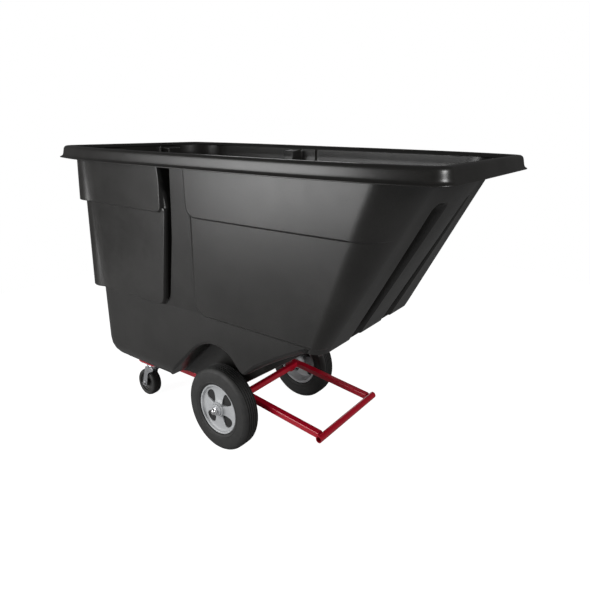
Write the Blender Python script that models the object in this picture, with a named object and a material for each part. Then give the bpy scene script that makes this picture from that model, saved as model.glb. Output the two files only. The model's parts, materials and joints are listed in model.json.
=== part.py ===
"""Tilting tub cart: a moulded tub on a tube frame, two main wheels on one axle, two rear casters.

Metres, +Z up, +X towards the dumping end, +Y to the cart's left.
The origin is on the floor, under the middle of the tub's rim.
"""
import math

import bmesh
import bpy
from mathutils import Matrix, Vector

# ---- driving dimensions -------------------------------------------------------------------
LENGTH = 1.537                  # rim, back to front
WIDTH = 0.711                   # rim, side to side at its widest
HEIGHT = 0.981                  # floor to the top of the rim
GAP = 0.0003                    # between pieces that rest on each other
REAR = -LENGTH / 2              # x of the rim's rear edge

# tub
WALL = 0.006                    # thickness of the moulded wall
RIM_SKIRT_Z = 0.9395            # lower edge of the rim's skirt
RIM_UNDER_Z = 0.968             # underside of the rim, inside the skirt
RIM_CORNER = 0.060
RIM_BOW = 0.060                 # how far the long sides bow in at their ends
RIM_POWER = 4                   # the sides stay straight for long, then bend in
STEP_HIGH_Z = 0.790             # lower edge of the upper pads and panels
STEP_LOW_Z = 0.472              # lower edge of the lower pads and panels
STEP_RUN = 0.005
TUB_FLOOR_Z = 0.1723            # rests on the rails
FRONT_FOOT_X = 1.167 + REAR     # foot of the front wall
FRONT_FOOT_Z = 0.469
FRONT_RUN = 0.612               # the front wall's x per metre of height
UNDER_FOOT_X = 1.152 + REAR     # where the sloping underside meets the front wall
UNDER_FOOT_Z = 0.476
UNDER_RISE = 0.664              # the sloping underside's height per metre of x
ARCH_X = 0.735 + REAR           # round part of the wheel arch
ARCH_Z = 0.206
ARCH_R = 0.170
ARCH_TAIL = math.radians(42.0)  # slope of the arch's straight rear part
WELL_Y = 0.152                  # inner wall of the wheel wells
REAR_FOOT_R = 0.102             # radius between the rear wall and the floor
SIDE_FOOT_R = 0.085             # radius between the side walls and the floor
CHANNEL_DEPTH = 0.047
REAR_CHANNEL_Y = (0.092, 0.148)
FRONT_CHANNEL_Y = (0.058, 0.112)
FRONT_CHANNEL_DEPTH = 0.036
REAR_LAND_Y = 0.158             # width the rear wall's flat part needs at full size
DRAFT = 0.006                   # how much a channel's wall leans across its depth
CORNER_STEPS = 5
FRONT_LEVELS = {2: 0.870, 3: 0.858}      # rows that close the front channels' tops

# tables of (height, value), straight lines between the rows
WALL_REAR = [(0.940, 0.064), (0.790, 0.067), (0.472, 0.085), (0.260, 0.084)]
WALL_HALF = [(0.940, 0.297), (0.790, 0.279), (0.472, 0.247), (0.200, 0.236)]
REAR_CORNER = [(0.940, 0.120), (0.472, 0.085), (0.200, 0.078)]
FRONT_CORNER = [(0.940, 0.120), (0.472, 0.040)]
BOW = [(0.940, 0.014), (0.472, 0.0)]

# land heights over the plain wall: (upper zone top, upper zone foot, lower top, lower foot)
PAD_SIDE = (0.008, 0.013, 0.006, 0.015)
PAD_REAR = (0.025, 0.040, 0.015, 0.039)
PANEL = (0.006, 0.012, 0.003, 0.008)

# frame
TUBE = 0.0195                   # side of the square tube
TUBE_WALL = 0.0016
TUBE_ROUND = 0.003
RAIL_Y = 0.1303
RAIL_Z = 0.1622
RAIL_TOP = RAIL_Z + TUBE / 2
RAIL_UNDER = RAIL_Z - TUBE / 2
RAIL_REAR_X = 0.175 + REAR
RAIL_BEND_X = 0.745 + REAR      # the rails slope down from here to the stop tube
STOP_X = 1.070 + REAR
STOP_Z = 0.1256
STOP_R = 0.0111
STOP_HALF = 0.1512
CROSS_X = 0.7353 + REAR
WELD_GAP = 0.0012               # between a rail's end and the stop tube
BRACKET_TOP = 0.0150            # half lengths of the axle bracket's upper and lower edges
BRACKET_FOOT = 0.0125
BRACKET_UNDER_AXLE = 0.014      # the bracket's lower edge under the axle's middle

# main wheels
AXLE_X = 0.7034 + REAR
WHEEL_R = 0.1398
WHEEL_Y = 0.1949
TYRE_W = 0.0586
HUB_R = 0.0842
HUB_RUN = 0.0005                # running clearance of the hub round the axle
AXLE_R = 0.008
BOSS_R = 0.021
BOSS_HALF = 0.032
BUSH_R = 0.0135
BUSH_L = 0.012
SPACER_R = 0.0125
WASHER_R = 0.015
WASHER_T = 0.0016
CAP_R = 0.0115
CAP_DEPTH = 0.0125
CAP_WALL = 0.0015
AXLE_HALF = WHEEL_Y + BOSS_HALF + 0.010
WINDOW_R = 0.0475               # the hub's four windows: middle radius, reach and swing
WINDOW_REACH = 0.0155
WINDOW_SWING = math.radians(23.0)
WHEEL_SEGMENTS = 28

# casters
CASTER_X = 0.232 + REAR
CASTER_TRAIL = 0.035
CASTER_R = 0.0520
CASTER_W = 0.035
CORE_R = 0.034
CORE_HALF = 0.0175
CORE_BORE = 0.0088
BUSH_HALF = 0.0185
CASTER_BUSH_R = 0.0085
CASTER_AXLE_R = 0.0045
AXLE_HOLE = CASTER_AXLE_R + GAP
FORK_HALF = 0.0195
FORK_T = 0.003
FORK_EYE = 0.012
CROWN_HALF = 0.024
PIN_R = 0.005
PIN_HEAD_R = 0.0095
PIN_HEAD_H = 0.005
RACE_R = 0.0255
RACE_H = 0.017
PLATE_T = 0.004
PLATE_X = 0.046                 # half sides of a caster's top plate
PLATE_Y = 0.031
CROSS_PLATE_X = 0.050           # half sides of the plate under both rails
CROSS_PLATE_Y = RAIL_Y + 0.034
CASTER_BOLT_X = 0.036
CASTER_BOLT_Y = 0.0225
CASTER_BOLT_R = 0.0032
CASTER_TOP = RAIL_UNDER - 2 * GAP - PLATE_T

# fasteners
TUB_BOLT_X = (0.330 + REAR, 0.620 + REAR)
TUB_BOLT_R = 0.004
TUB_HEAD_R = 0.0115
TUB_HEAD_H = 0.004
TUB_NUT_R = 0.0078
TUB_NUT_H = 0.0065
BOLT_SEGMENTS = 12


# ---- helpers ------------------------------------------------------------------------------
def clear_scene():
    for obj in list(bpy.data.objects):
        bpy.data.objects.remove(obj, do_unlink=True)


def material(name, colour, roughness, metallic=0.0):
    mat = bpy.data.materials.get(name) or bpy.data.materials.new(name)
    mat.use_nodes = True
    shader = mat.node_tree.nodes["Principled BSDF"]
    shader.inputs["Base Color"].default_value = (*colour, 1.0)
    shader.inputs["Roughness"].default_value = roughness
    shader.inputs["Metallic"].default_value = metallic
    return mat


def black_plastic():
    return material("black_plastic", (0.035, 0.034, 0.032), 0.42)


def red_paint():
    return material("red_paint", (0.45, 0.005, 0.02), 0.25)


def rubber():
    return material("rubber", (0.035, 0.035, 0.037), 0.75)


def grey_plastic():
    return material("grey_plastic", (0.42, 0.43, 0.44), 0.45)


def zinc():
    return material("zinc", (0.62, 0.63, 0.65), 0.32, 1.0)


def add_object(name, bm, mat, smooth=None):
    bmesh.ops.recalc_face_normals(bm, faces=bm.faces)
    mesh = bpy.data.meshes.new(name)
    bm.to_mesh(mesh)
    bm.free()
    mesh.materials.append(mat)
    if smooth:
        mesh.shade_smooth()
        mesh.set_sharp_from_angle(angle=math.radians(smooth))
    obj = bpy.data.objects.new(name, mesh)
    bpy.context.scene.collection.objects.link(obj)
    return obj


def cut(obj, cutter, operation="DIFFERENCE"):
    cutter.hide_render = True
    cutter.display_type = "WIRE"
    mod = obj.modifiers.new(cutter.name, "BOOLEAN")
    mod.operation = operation
    mod.object = cutter
    return mod


def ring_solid(bm, rings, closed_loop=False):
    """Bridge rings of points into a solid: the ends are capped unless the rings form a loop."""
    rows = [[bm.verts.new(p) for p in ring] for ring in rings]
    count = len(rows[0])
    pairs = list(zip(rows, rows[1:]))
    if closed_loop:
        pairs.append((rows[-1], rows[0]))
    for low, high in pairs:
        for i in range(count):
            j = (i + 1) % count
            bm.faces.new((low[i], low[j], high[j], high[i]))
    if not closed_loop:
        bm.faces.new(rows[0])
        bm.faces.new(rows[-1])


def turned(name, profile, segments, centre, axis, mat, smooth=40):
    """Turn a closed (radius, along) outline about an axis through centre."""
    bm = bmesh.new()
    turn = Vector((0, 0, 1)).rotation_difference(Vector(axis)).to_matrix()
    rings = []
    for k in range(segments):
        a = 2 * math.pi * k / segments
        ring = [turn @ Vector((r * math.cos(a), r * math.sin(a), h)) for r, h in profile]
        rings.append([p + Vector(centre) for p in ring])
    ring_solid(bm, rings, closed_loop=True)
    return add_object(name, bm, mat, smooth)


def prism(name, outline, depth, place, mat, smooth=None):
    """Extrude an outline in local XY from z=0 to z=depth, then place it."""
    bm = bmesh.new()
    rings = [[place @ Vector((x, y, z)) for x, y in outline] for z in (0.0, depth)]
    ring_solid(bm, rings)
    return add_object(name, bm, mat, smooth)


def circle(radius, segments, phase=0.0):
    turn = 2 * math.pi / segments
    return [(radius * math.cos(turn * (k + phase)), radius * math.sin(turn * (k + phase)))
            for k in range(segments)]


def rounded_rect(half_x, half_y, radius, steps=3):
    points = []
    for cx, cy, start in ((1, 1, 0), (-1, 1, 90), (-1, -1, 180), (1, -1, 270)):
        for k in range(steps + 1):
            a = math.radians(start + 90 * k / steps)
            points.append((cx * (half_x - radius) + radius * math.cos(a),
                           cy * (half_y - radius) + radius * math.sin(a)))
    return points


def frame_at(origin, x_axis, z_axis):
    """Placement whose local X and Z point along the given world axes."""
    z = Vector(z_axis).normalized()
    x = Vector(x_axis).normalized()
    y = z.cross(x)
    rot = Matrix((x, y, z)).transposed().to_4x4()
    return Matrix.Translation(Vector(origin)) @ rot


def hole(target, name, centre, axis, radius, length, segments=12):
    axis = Vector(axis).normalized()
    side = axis.orthogonal()
    place = frame_at(Vector(centre) - axis * length / 2, side, axis)
    cutter = prism("cut_" + name, circle(radius, segments, 0.5), length, place, zinc())
    cut(target, cutter)


# ---- tub ----------------------------------------------------------------------------------
def table(z, rows):
    """Straight-line interpolation in rows of (z, value), highest z first."""
    if z >= rows[0][0]:
        return rows[0][1]
    for (z1, v1), (z0, v0) in zip(rows, rows[1:]):
        if z >= z0:
            return v0 + (v1 - v0) * (z - z0) / (z1 - z0)
    return rows[-1][1]


def half_columns():
    """Columns of the right half, rear centre to front centre: (place, position at the rim,
    position at the foot, inner-skin shift, land, channel share)."""
    pad, panel, plain = "pad", "panel", "plain"
    a, b = REAR_CHANNEL_Y
    rows = [("rear", 0.0, 0.0, 0, pad, 0),
            ("rear", a, a, -1, pad, 0),
            ("rear", a + DRAFT, a + DRAFT, -1, plain, 1),
            ("rear", b - DRAFT, b - DRAFT, 1, plain, 1),
            ("rear", b, b, 1, pad, 0)]
    for k in range(CORNER_STEPS + 1):
        rows.append(("rear_corner", k / CORNER_STEPS, k / CORNER_STEPS, 0, pad, 0))
    rows += [("side", 0.330, 0.330, 0, pad, 0),
             ("side", 0.430, 0.446, 0, pad, 0),
             ("side", 0.520, 0.482, 0, pad, 0),
             ("side", 0.594, 0.512, -1, pad, 0),
             ("side", 0.600, 0.518, -1, plain, 1),
             ("side", 0.632, 0.532, 1, plain, 1),
             ("side", 0.638, 0.538, 1, plain, 0),
             ("side", 0.666, 0.600, 0, plain, 0),
             ("side", 0.700, 0.666, 1, plain, 0),
             ("side", 0.708, 0.676, 1, panel, 0)]
    for top, foot in ((0.78, 0.715), (0.86, 0.765), (0.94, 0.812), (1.02, 0.850),
                      (1.08, 0.8795), (1.17, 0.960), (1.26, 1.040)):
        rows.append(("side", top, foot, 0, panel, 0))
    for k in range(CORNER_STEPS + 1):
        land = panel if k < CORNER_STEPS - 1 else plain
        rows.append(("front_corner", k / CORNER_STEPS, k / CORNER_STEPS, 0, land, 0))
    c, d = FRONT_CHANNEL_Y
    rows += [("front", d, d, 1, plain, 0),
             ("front", d - DRAFT, d - DRAFT, 1, plain, 1),
             ("front", c + DRAFT, c + DRAFT, -1, plain, 1),
             ("front", c, c, -1, plain, 0),
             ("front", 0.0, 0.0, 0, plain, 0)]
    return rows


def outline_point(place, s, x0, x1, half, r0, r1, bow, power=2):
    """Point and outward direction on a round-cornered outline (right half, y negative)."""
    middle = (x0 + x1) / 2
    reach = (x1 - x0) / 2

    def bowed(x):
        return half - bow * (abs(x - middle) / reach) ** power

    def corner(radius):
        """Distance from the end to where the corner starts, and the side's slope there."""
        slope = 0.0
        for _ in range(4):
            back = radius * (1 - math.sin(slope))
            slope = math.atan(power * bow / reach * (1 - back / reach) ** (power - 1))
        return back, slope

    back0, slope0 = corner(r0)
    back1, slope1 = corner(r1)
    if place == "rear":
        room = bowed(x0 + back0) - r0 * math.cos(slope0)
        return Vector((x0, -s * min(1.0, room / REAR_LAND_Y))), Vector((-1, 0))
    if place == "front":
        return Vector((x1, -s)), Vector((1, 0))
    if place == "side":
        x = min(max(s, x0 + back0), x1 - back1)
        return Vector((x, -bowed(x))), Vector((0, -1))
    if place == "rear_corner":
        edge, slope, radius, way, turn = x0 + back0, slope0, r0, -1, 1 - s
    else:
        edge, slope, radius, way, turn = x1 - back1, slope1, r1, 1, s
    a = slope + (math.pi / 2 - slope) * turn
    out = Vector((way * math.sin(a), -math.cos(a)))
    start = Vector((way * math.sin(slope), -math.cos(slope)))
    centre = Vector((edge, -bowed(edge))) - start * radius
    return centre + out * radius, out


def front_x(z):
    return FRONT_FOOT_X + (z - FRONT_FOOT_Z) * FRONT_RUN


def underside_of(x, inset):
    """Height of one skin of the sloping underside or the floor over x."""
    slope = UNDER_FOOT_Z + (x - UNDER_FOOT_X) * UNDER_RISE + inset * 1.2
    return max(slope, TUB_FLOOR_Z + inset)


def arch_z(x, grow):
    """Height of the wheel arch over x, never under the underside."""
    radius = ARCH_R + grow
    tail_x = ARCH_X - radius * math.sin(ARCH_TAIL)
    if x < tail_x:
        z = ARCH_Z + radius * math.cos(ARCH_TAIL) - (tail_x - x) * math.tan(ARCH_TAIL)
    elif x < ARCH_X + radius:
        z = ARCH_Z + math.sqrt(radius ** 2 - (x - ARCH_X) ** 2)
    else:
        z = TUB_FLOOR_Z
    return max(z, underside_of(x, 0.0))


def land_height(land, place, s, z, fade):
    """How far a pad or a panel stands over the plain wall at height z."""
    if land == "plain":
        return 0.0
    if land == "panel":
        steps = PANEL
    elif place == "rear":
        steps = PAD_REAR
    elif place == "rear_corner":
        steps = [r + (q - r) * s ** 3 for r, q in zip(PAD_REAR, PAD_SIDE)]
    else:
        steps = PAD_SIDE
    if z >= STEP_HIGH_Z:
        t = (z - STEP_HIGH_Z) / (RIM_SKIRT_Z - STEP_HIGH_Z)
        height = steps[1] + (steps[0] - steps[1]) * min(t, 1)
    elif z >= STEP_LOW_Z:
        t = (z - STEP_LOW_Z) / (STEP_HIGH_Z - STEP_LOW_Z)
        height = steps[3] + (steps[2] - steps[3]) * t
    else:
        return 0.0
    return height * fade


def channel_depth(place, z):
    top, run = (FRONT_LEVELS[3], 0.012) if place == "front" else (0.936, 0.022)
    end = top + run
    share = min(max((end - z) / (end - top), 0.0), 1.0)
    if place == "front":
        return FRONT_CHANNEL_DEPTH * share
    return CHANNEL_DEPTH * share if z >= STEP_LOW_Z else 0.0


def wall_point(column, z, inset, land_z, rear_in=0.0, side_in=0.0):
    """Point of the tub's wall: inset 0 is the outer skin, WALL the inner one."""
    place, top, foot, shift, land, channel = column
    t = min(max((z - STEP_LOW_Z) / (RIM_SKIRT_Z - STEP_LOW_Z), 0.0), 1.0)
    s = foot + (top - foot) * t
    s += shift * inset
    if place == "side":
        s += REAR
    x0 = table(z, WALL_REAR) + REAR + inset + rear_in
    x1 = front_x(z) - inset * 1.19
    r0 = max(table(z, REAR_CORNER) - inset - (rear_in + side_in) / 2, 0.02)
    r1 = max(table(z, FRONT_CORNER) - inset, 0.01)
    half = table(z, WALL_HALF) - inset - side_in
    point, out = outline_point(place, s, x0, x1, half, r0, r1, table(z, BOW))
    fade = 1.0 - top if place == "front_corner" else 1.0
    offset = land_height(land, place, top, land_z, fade)
    if channel:
        offset -= channel_depth(place, land_z)
    return point + out * offset, out


def foot_radius(column):
    """Radius between this column's wall and the floor."""
    place, s = column[0], column[1]
    if place == "rear":
        return REAR_FOOT_R
    if place == "rear_corner":
        return REAR_FOOT_R + (SIDE_FOOT_R - REAR_FOOT_R) * s
    return SIDE_FOOT_R if place == "side" else 0.0


def foot_points(column, start, inset):
    """Lowest six points of a column: down the wall, then round the foot radius."""
    place = column[0]
    floor_z = TUB_FLOOR_Z + inset
    if place in ("front", "front_corner"):
        land_z = 0.5 if place == "front" else 0.0
        stop = start.z
        for _ in range(30):
            point, _out = wall_point(column, stop, inset, land_z)
            stop = min(start.z, underside_of(point.x, inset))
        heights = [start.z + (stop - start.z) * share for share in (0.35, 0.7, 1, 1, 1, 1)]
        points = [wall_point(column, z, inset, land_z)[0] for z in heights]
        return [Vector((p.x, p.y, z)) for p, z in zip(points, heights)]
    radius = foot_radius(column) - inset
    edge = floor_z
    if place == "side":
        edge = max(arch_z(start.x, inset), underside_of(start.x, inset))
    stop = max(edge, floor_z + radius)
    points = []
    for share in (0.35, 0.7, 1.0):
        z = start.z + (stop - start.z) * share
        point, _out = wall_point(column, z, inset, 0.0)
        points.append(Vector((point.x, point.y, z)))
    last = math.asin(min(max(1 - (edge - floor_z) / radius, 0.0), 1.0))
    for degrees in (30, 60, 90):
        a = min(math.radians(degrees), last)
        bend = 1 - math.cos(a)
        z = stop - radius * math.sin(a)
        point, _out = wall_point(column, stop, inset, 0.0, (REAR_FOOT_R - inset) * bend,
                                 (SIDE_FOOT_R - inset) * bend)
        points.append(Vector((point.x, point.y, z)))
    return points


def skin_rings(inset):
    """Half rings of one skin, from under the rim to the foot of the walls."""
    levels = [(RIM_UNDER_Z, None), (0.960, None), (0.936, None), (STEP_HIGH_Z, None),
              (STEP_HIGH_Z - STEP_RUN, STEP_HIGH_Z - 1e-6), (0.630, None), (STEP_LOW_Z, None),
              (STEP_LOW_Z - STEP_RUN, STEP_LOW_Z - 1e-6)]
    columns = half_columns()
    rings = []
    for k, (level, land_z) in enumerate(levels):
        ring = []
        for column in columns:
            z = FRONT_LEVELS.get(k, level) if column[0] == "front" else level
            point, _out = wall_point(column, z + inset, inset, land_z or z)
            ring.append(Vector((point.x, point.y, z + inset)))
        rings.append(ring)
    feet = [foot_points(column, start, inset) for column, start in zip(columns, rings[-1])]
    for k in range(6):
        rings.append([points[k] for points in feet])
    return rings


def rim_point(column, inset, z):
    place, top = column[0], column[1]
    s = top + REAR if place == "side" else top
    point, _ = outline_point(place, s, REAR + inset, REAR + LENGTH - inset,
                             WIDTH / 2 - inset, RIM_CORNER - inset, RIM_CORNER - inset, RIM_BOW,
                             RIM_POWER)
    return Vector((point.x, point.y, z))


def rim_rings(inner_top, outer_top):
    """Rings over the rim, from the inner skin's top to the outer skin's top."""
    columns = half_columns()
    rings = [[Vector((p.x, p.y, HEIGHT - 0.004)) for p in inner_top]]
    for inset, z in ((0.034, HEIGHT), (0.019, HEIGHT), (0.0125, HEIGHT - 0.004),
                     (0.0095, HEIGHT - 0.012), (0.0045, RIM_SKIRT_Z + 0.006),
                     (0.0, RIM_SKIRT_Z + 0.003), (0.0, RIM_SKIRT_Z),
                     (0.0085, RIM_SKIRT_Z), (0.0135, RIM_UNDER_Z)):
        rings.append([rim_point(column, inset, z) for column in columns])
    return rings


def full_ring(half):
    """Close a right half ring with its mirror image; the centre points are shared."""
    mirrored = [Vector((p.x, -p.y, p.z)) for p in reversed(half[1:-1])]
    return half + mirrored


def close_foot(bm, ring, columns, inset):
    """Fill the underside inside the last ring of a skin."""
    sides = [i for i, c in enumerate(columns) if c[0] == "side"]
    well = WELL_Y - inset

    def partner(i):
        return ring[(len(ring) - i) % len(ring)]

    strips = []
    for i in sides:
        edge = ring[i]
        x = edge.co.x
        low = underside_of(x, inset)
        high = edge.co.z
        inner = [bm.verts.new((x, -well, high)), bm.verts.new((x, -well, low)),
                 bm.verts.new((x, well, low)), bm.verts.new((x, well, high))]
        strips.append([edge] + inner + [partner(i)])
    for a, b in zip(strips, strips[1:]):
        for k in range(5):
            bm.faces.new((a[k], b[k], b[k + 1], a[k + 1]))
    first, last = strips[0], strips[-1]
    rear_loop = [ring[i] for i in range(sides[0], -1, -1)]
    rear_loop += [ring[len(ring) - i] for i in range(1, sides[0] + 1)]
    bm.faces.new(rear_loop + [v for v in first[4:0:-1]])
    front_loop = [ring[i] for i in range(sides[-1], len(ring) - sides[-1] + 1)]
    bm.faces.new(front_loop + [v for v in last[4:0:-1]])


def build_tub():
    columns = half_columns()
    outer = skin_rings(0.0)
    inner = skin_rings(WALL)
    half = list(reversed(inner)) + rim_rings(inner[0], outer[0]) + outer
    bm = bmesh.new()
    rows = [[bm.verts.new(p) for p in full_ring(ring)] for ring in half]
    for low, high in zip(rows, rows[1:]):
        for i in range(len(low)):
            j = (i + 1) % len(low)
            bm.faces.new((low[i], low[j], high[j], high[i]))
    close_foot(bm, rows[-1], columns, 0.0)
    close_foot(bm, rows[0], columns, WALL)
    bmesh.ops.remove_doubles(bm, verts=bm.verts, dist=1e-5)
    bmesh.ops.dissolve_degenerate(bm, edges=bm.edges, dist=1e-5)
    bmesh.ops.triangulate(bm, faces=bm.faces)
    tub = add_object("tub", bm, black_plastic(), 35)
    for side in (-1, 1):
        for k, x in enumerate(TUB_BOLT_X):
            hole(tub, f"tub_{side}_{k}", (x, side * RAIL_Y, TUB_FLOOR_Z), (0, 0, 1),
                 TUB_BOLT_R + GAP, 0.05)
    return tub


# ---- frame --------------------------------------------------------------------------------
def tube_skins():
    inner = TUBE / 2 - TUBE_WALL
    return (rounded_rect(TUBE / 2, TUBE / 2, TUBE_ROUND, 2),
            rounded_rect(inner, inner, TUBE_ROUND - TUBE_WALL, 2))


def square_tube(name, path):
    """Hollow square tube with open ends, swept along a path in a plane of constant y."""
    bm = bmesh.new()
    across = Vector((0, 1, 0))
    points = [Vector(p) for p in path]
    stacks = []
    for outline in tube_skins():
        stack = []
        for i, point in enumerate(points):
            before = (point - points[i - 1]).normalized() if i else None
            after = (points[i + 1] - point).normalized() if i + 1 < len(points) else None
            along = ((before or after) + (after or before)).normalized()
            stretch = 1.0 / along.dot(after or before)
            up = along.cross(across)
            stack.append([point + across * u + up * v * stretch for u, v in outline])
        stacks.append(stack)
    ring_solid(bm, stacks[0] + list(reversed(stacks[1])), closed_loop=True)
    return add_object(name, bm, red_paint(), 30)


def cross_tube(name, x, z, half):
    bm = bmesh.new()
    outer, inner = tube_skins()
    rings = []
    for outline, order in ((outer, (-half, half)), (inner, (half, -half))):
        for y in order:
            rings.append([Vector((x + u, y, z + v)) for u, v in outline])
    ring_solid(bm, rings, closed_loop=True)
    return add_object(name, bm, red_paint(), 30)


def build_rail(word, side):
    y = side * RAIL_Y
    slope = (STOP_Z - RAIL_Z) / (STOP_X - RAIL_BEND_X)
    end_x = STOP_X - STOP_R - WELD_GAP
    end_z = RAIL_Z + slope * (end_x - RAIL_BEND_X)
    path = [(RAIL_REAR_X, y, RAIL_Z), (RAIL_BEND_X, y, RAIL_Z), (end_x, y, end_z)]
    rail = square_tube(f"{word}_frame_rail", path)
    for k, x in enumerate(TUB_BOLT_X):
        hole(rail, f"{word}_rail_{k}", (x, y, RAIL_Z), (0, 0, 1), TUB_BOLT_R + GAP, 2 * TUBE)


def build_bracket(word, side):
    """Block under the rail that carries the axle, narrower at its foot."""
    y = side * RAIL_Y
    top = RAIL_UNDER - GAP
    low = WHEEL_R - BRACKET_UNDER_AXLE
    place = frame_at((AXLE_X, y - TUBE / 2, 0), (1, 0, 0), (0, 1, 0))
    outline = [(-BRACKET_TOP, -top), (-BRACKET_FOOT, -low), (BRACKET_FOOT, -low),
               (BRACKET_TOP, -top)]
    bracket = prism(f"{word}_axle_bracket", outline, TUBE, place, red_paint())
    hole(bracket, f"{word}_bracket", (AXLE_X, y, WHEEL_R), (0, 1, 0), AXLE_R + GAP, 3 * TUBE, 20)


def build_cross_pieces():
    cross_tube("axle_cross_tube", CROSS_X, RAIL_Z, RAIL_Y - TUBE / 2 - GAP)
    tube_inner = STOP_R - TUBE_WALL
    outline = [(STOP_R, -STOP_HALF), (STOP_R, STOP_HALF), (tube_inner, STOP_HALF),
               (tube_inner, -STOP_HALF)]
    turned("front_stop_tube", outline, 16, (STOP_X, 0, STOP_Z), (0, 1, 0), red_paint())
    foot = RAIL_UNDER - GAP - PLATE_T
    place = Matrix.Translation((CASTER_X, 0, foot))
    outline = rounded_rect(CROSS_PLATE_X, CROSS_PLATE_Y, 0.010)
    plate = prism("caster_cross_plate", outline, PLATE_T, place, red_paint())
    for side, word in ((1, "left"), (-1, "right")):
        for k, (dx, dy) in enumerate(caster_bolt_places()):
            centre = (CASTER_X + dx, side * RAIL_Y + dy, foot)
            hole(plate, f"plate_{word}_{k}", centre, (0, 0, 1), CASTER_BOLT_R + GAP, 0.02, 8)
    place = frame_at((AXLE_X, -AXLE_HALF, WHEEL_R), (1, 0, 0), (0, 1, 0))
    prism("axle", circle(AXLE_R, 20, 0.5), 2 * AXLE_HALF, place, zinc(), 40)


def caster_bolt_places():
    return [(sx * CASTER_BOLT_X, sy * CASTER_BOLT_Y) for sx in (-1, 1) for sy in (-1, 1)]


# ---- main wheels --------------------------------------------------------------------------
def tyre_profile():
    """Closed (radius, along) outline: rounded shoulders, a flat tread and a seat on the hub."""
    half = TYRE_W / 2
    seat = HUB_R + GAP
    side = [(seat, half - 0.006), (seat + 0.010, half - 0.0015), (0.116, half),
            (0.131, half - 0.002), (0.1375, half - 0.007), (WHEEL_R, half - 0.015)]
    return [(r, -y) for r, y in side] + side[::-1]


def hub_profile():
    """Closed outline of the wheel centre: boss with bush seats, dished web, outer flange."""
    bore = AXLE_R + HUB_RUN
    seat = BUSH_R + GAP
    flange = TYRE_W / 2 - 0.0055
    deep = BOSS_HALF - BUSH_L - GAP
    return [(bore, -deep), (seat, -deep), (seat, -BOSS_HALF), (BOSS_R, -BOSS_HALF),
            (BOSS_R + 0.002, -0.006), (0.066, -0.004), (0.072, -flange), (HUB_R, -flange),
            (HUB_R, flange), (0.074, flange), (0.069, 0.010), (BOSS_R + 0.004, 0.016),
            (BOSS_R, BOSS_HALF), (seat, BOSS_HALF), (seat, deep), (bore, deep)]


def window_outline(middle):
    """One petal-shaped window of the hub, a little wider at its outer end."""
    points = []
    for k in range(12):
        t = 2 * math.pi * k / 12
        reach = math.copysign(abs(math.cos(t)) ** 0.7, math.cos(t))
        swing = math.copysign(abs(math.sin(t)) ** 0.7, math.sin(t))
        radius = WINDOW_R + WINDOW_REACH * reach
        angle = middle + WINDOW_SWING * (1 + 0.13 * reach) * swing
        points.append((radius * math.cos(angle), radius * math.sin(angle)))
    return points


def sleeve(name, side, y, outer, length, inner):
    """Plain round sleeve on the wheels' axle."""
    half = length / 2
    outline = [(inner, -half), (outer, -half), (outer, half), (inner, half)]
    turned(name, outline, 20, (AXLE_X, side * y, WHEEL_R), (0, side, 0), zinc())


def build_wheel(word, side):
    centre = (AXLE_X, side * WHEEL_Y, WHEEL_R)
    axis = (0, side, 0)
    turned(f"{word}_wheel_tyre", tyre_profile(), WHEEL_SEGMENTS, centre, axis, rubber())
    hub = turned(f"{word}_wheel_hub", hub_profile(), WHEEL_SEGMENTS, centre, axis, grey_plastic())
    for k in range(4):
        place = frame_at((centre[0], centre[1] - 0.04, centre[2]), (1, 0, 0), (0, 1, 0))
        outline = window_outline(math.radians(45 + 90 * k))
        cutter = prism(f"cut_{word}_window_{k}", outline, 0.08, place, grey_plastic())
        cut(hub, cutter)
    bush_y = BOSS_HALF - BUSH_L / 2
    hub_in = WHEEL_Y - BOSS_HALF
    hub_out = WHEEL_Y + BOSS_HALF
    rail_face = RAIL_Y + TUBE / 2
    spacer = hub_in - rail_face - 2 * GAP
    bore = AXLE_R + GAP
    sleeve(f"{word}_wheel_inner_bush", side, WHEEL_Y - bush_y, BUSH_R, BUSH_L, bore)
    sleeve(f"{word}_wheel_outer_bush", side, WHEEL_Y + bush_y, BUSH_R, BUSH_L, bore)
    sleeve(f"{word}_axle_spacer", side, (rail_face + hub_in) / 2, SPACER_R, spacer, bore)
    sleeve(f"{word}_axle_washer", side, hub_out + GAP + WASHER_T / 2, WASHER_R, WASHER_T, bore)
    lip = CAP_DEPTH - CAP_WALL
    outline = [(bore, 0.0), (CAP_R, 0.0), (CAP_R, CAP_DEPTH - 0.003), (CAP_R - 0.003, CAP_DEPTH),
               (0.0, CAP_DEPTH), (0.0, lip), (bore, lip - 0.002)]
    cap_y = side * (hub_out + 2 * GAP + WASHER_T)
    cap_solid(f"{word}_axle_cap", outline, (AXLE_X, cap_y, WHEEL_R), axis)


def cap_solid(name, profile, centre, axis):
    """A turned cup whose outline touches the axis: the axis points are merged."""
    obj = turned(name, profile, 20, centre, axis, zinc())
    bm = bmesh.new()
    bm.from_mesh(obj.data)
    bmesh.ops.remove_doubles(bm, verts=bm.verts, dist=1e-6)
    bmesh.ops.dissolve_degenerate(bm, edges=bm.edges, dist=1e-6)
    bm.to_mesh(obj.data)
    bm.free()


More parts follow.
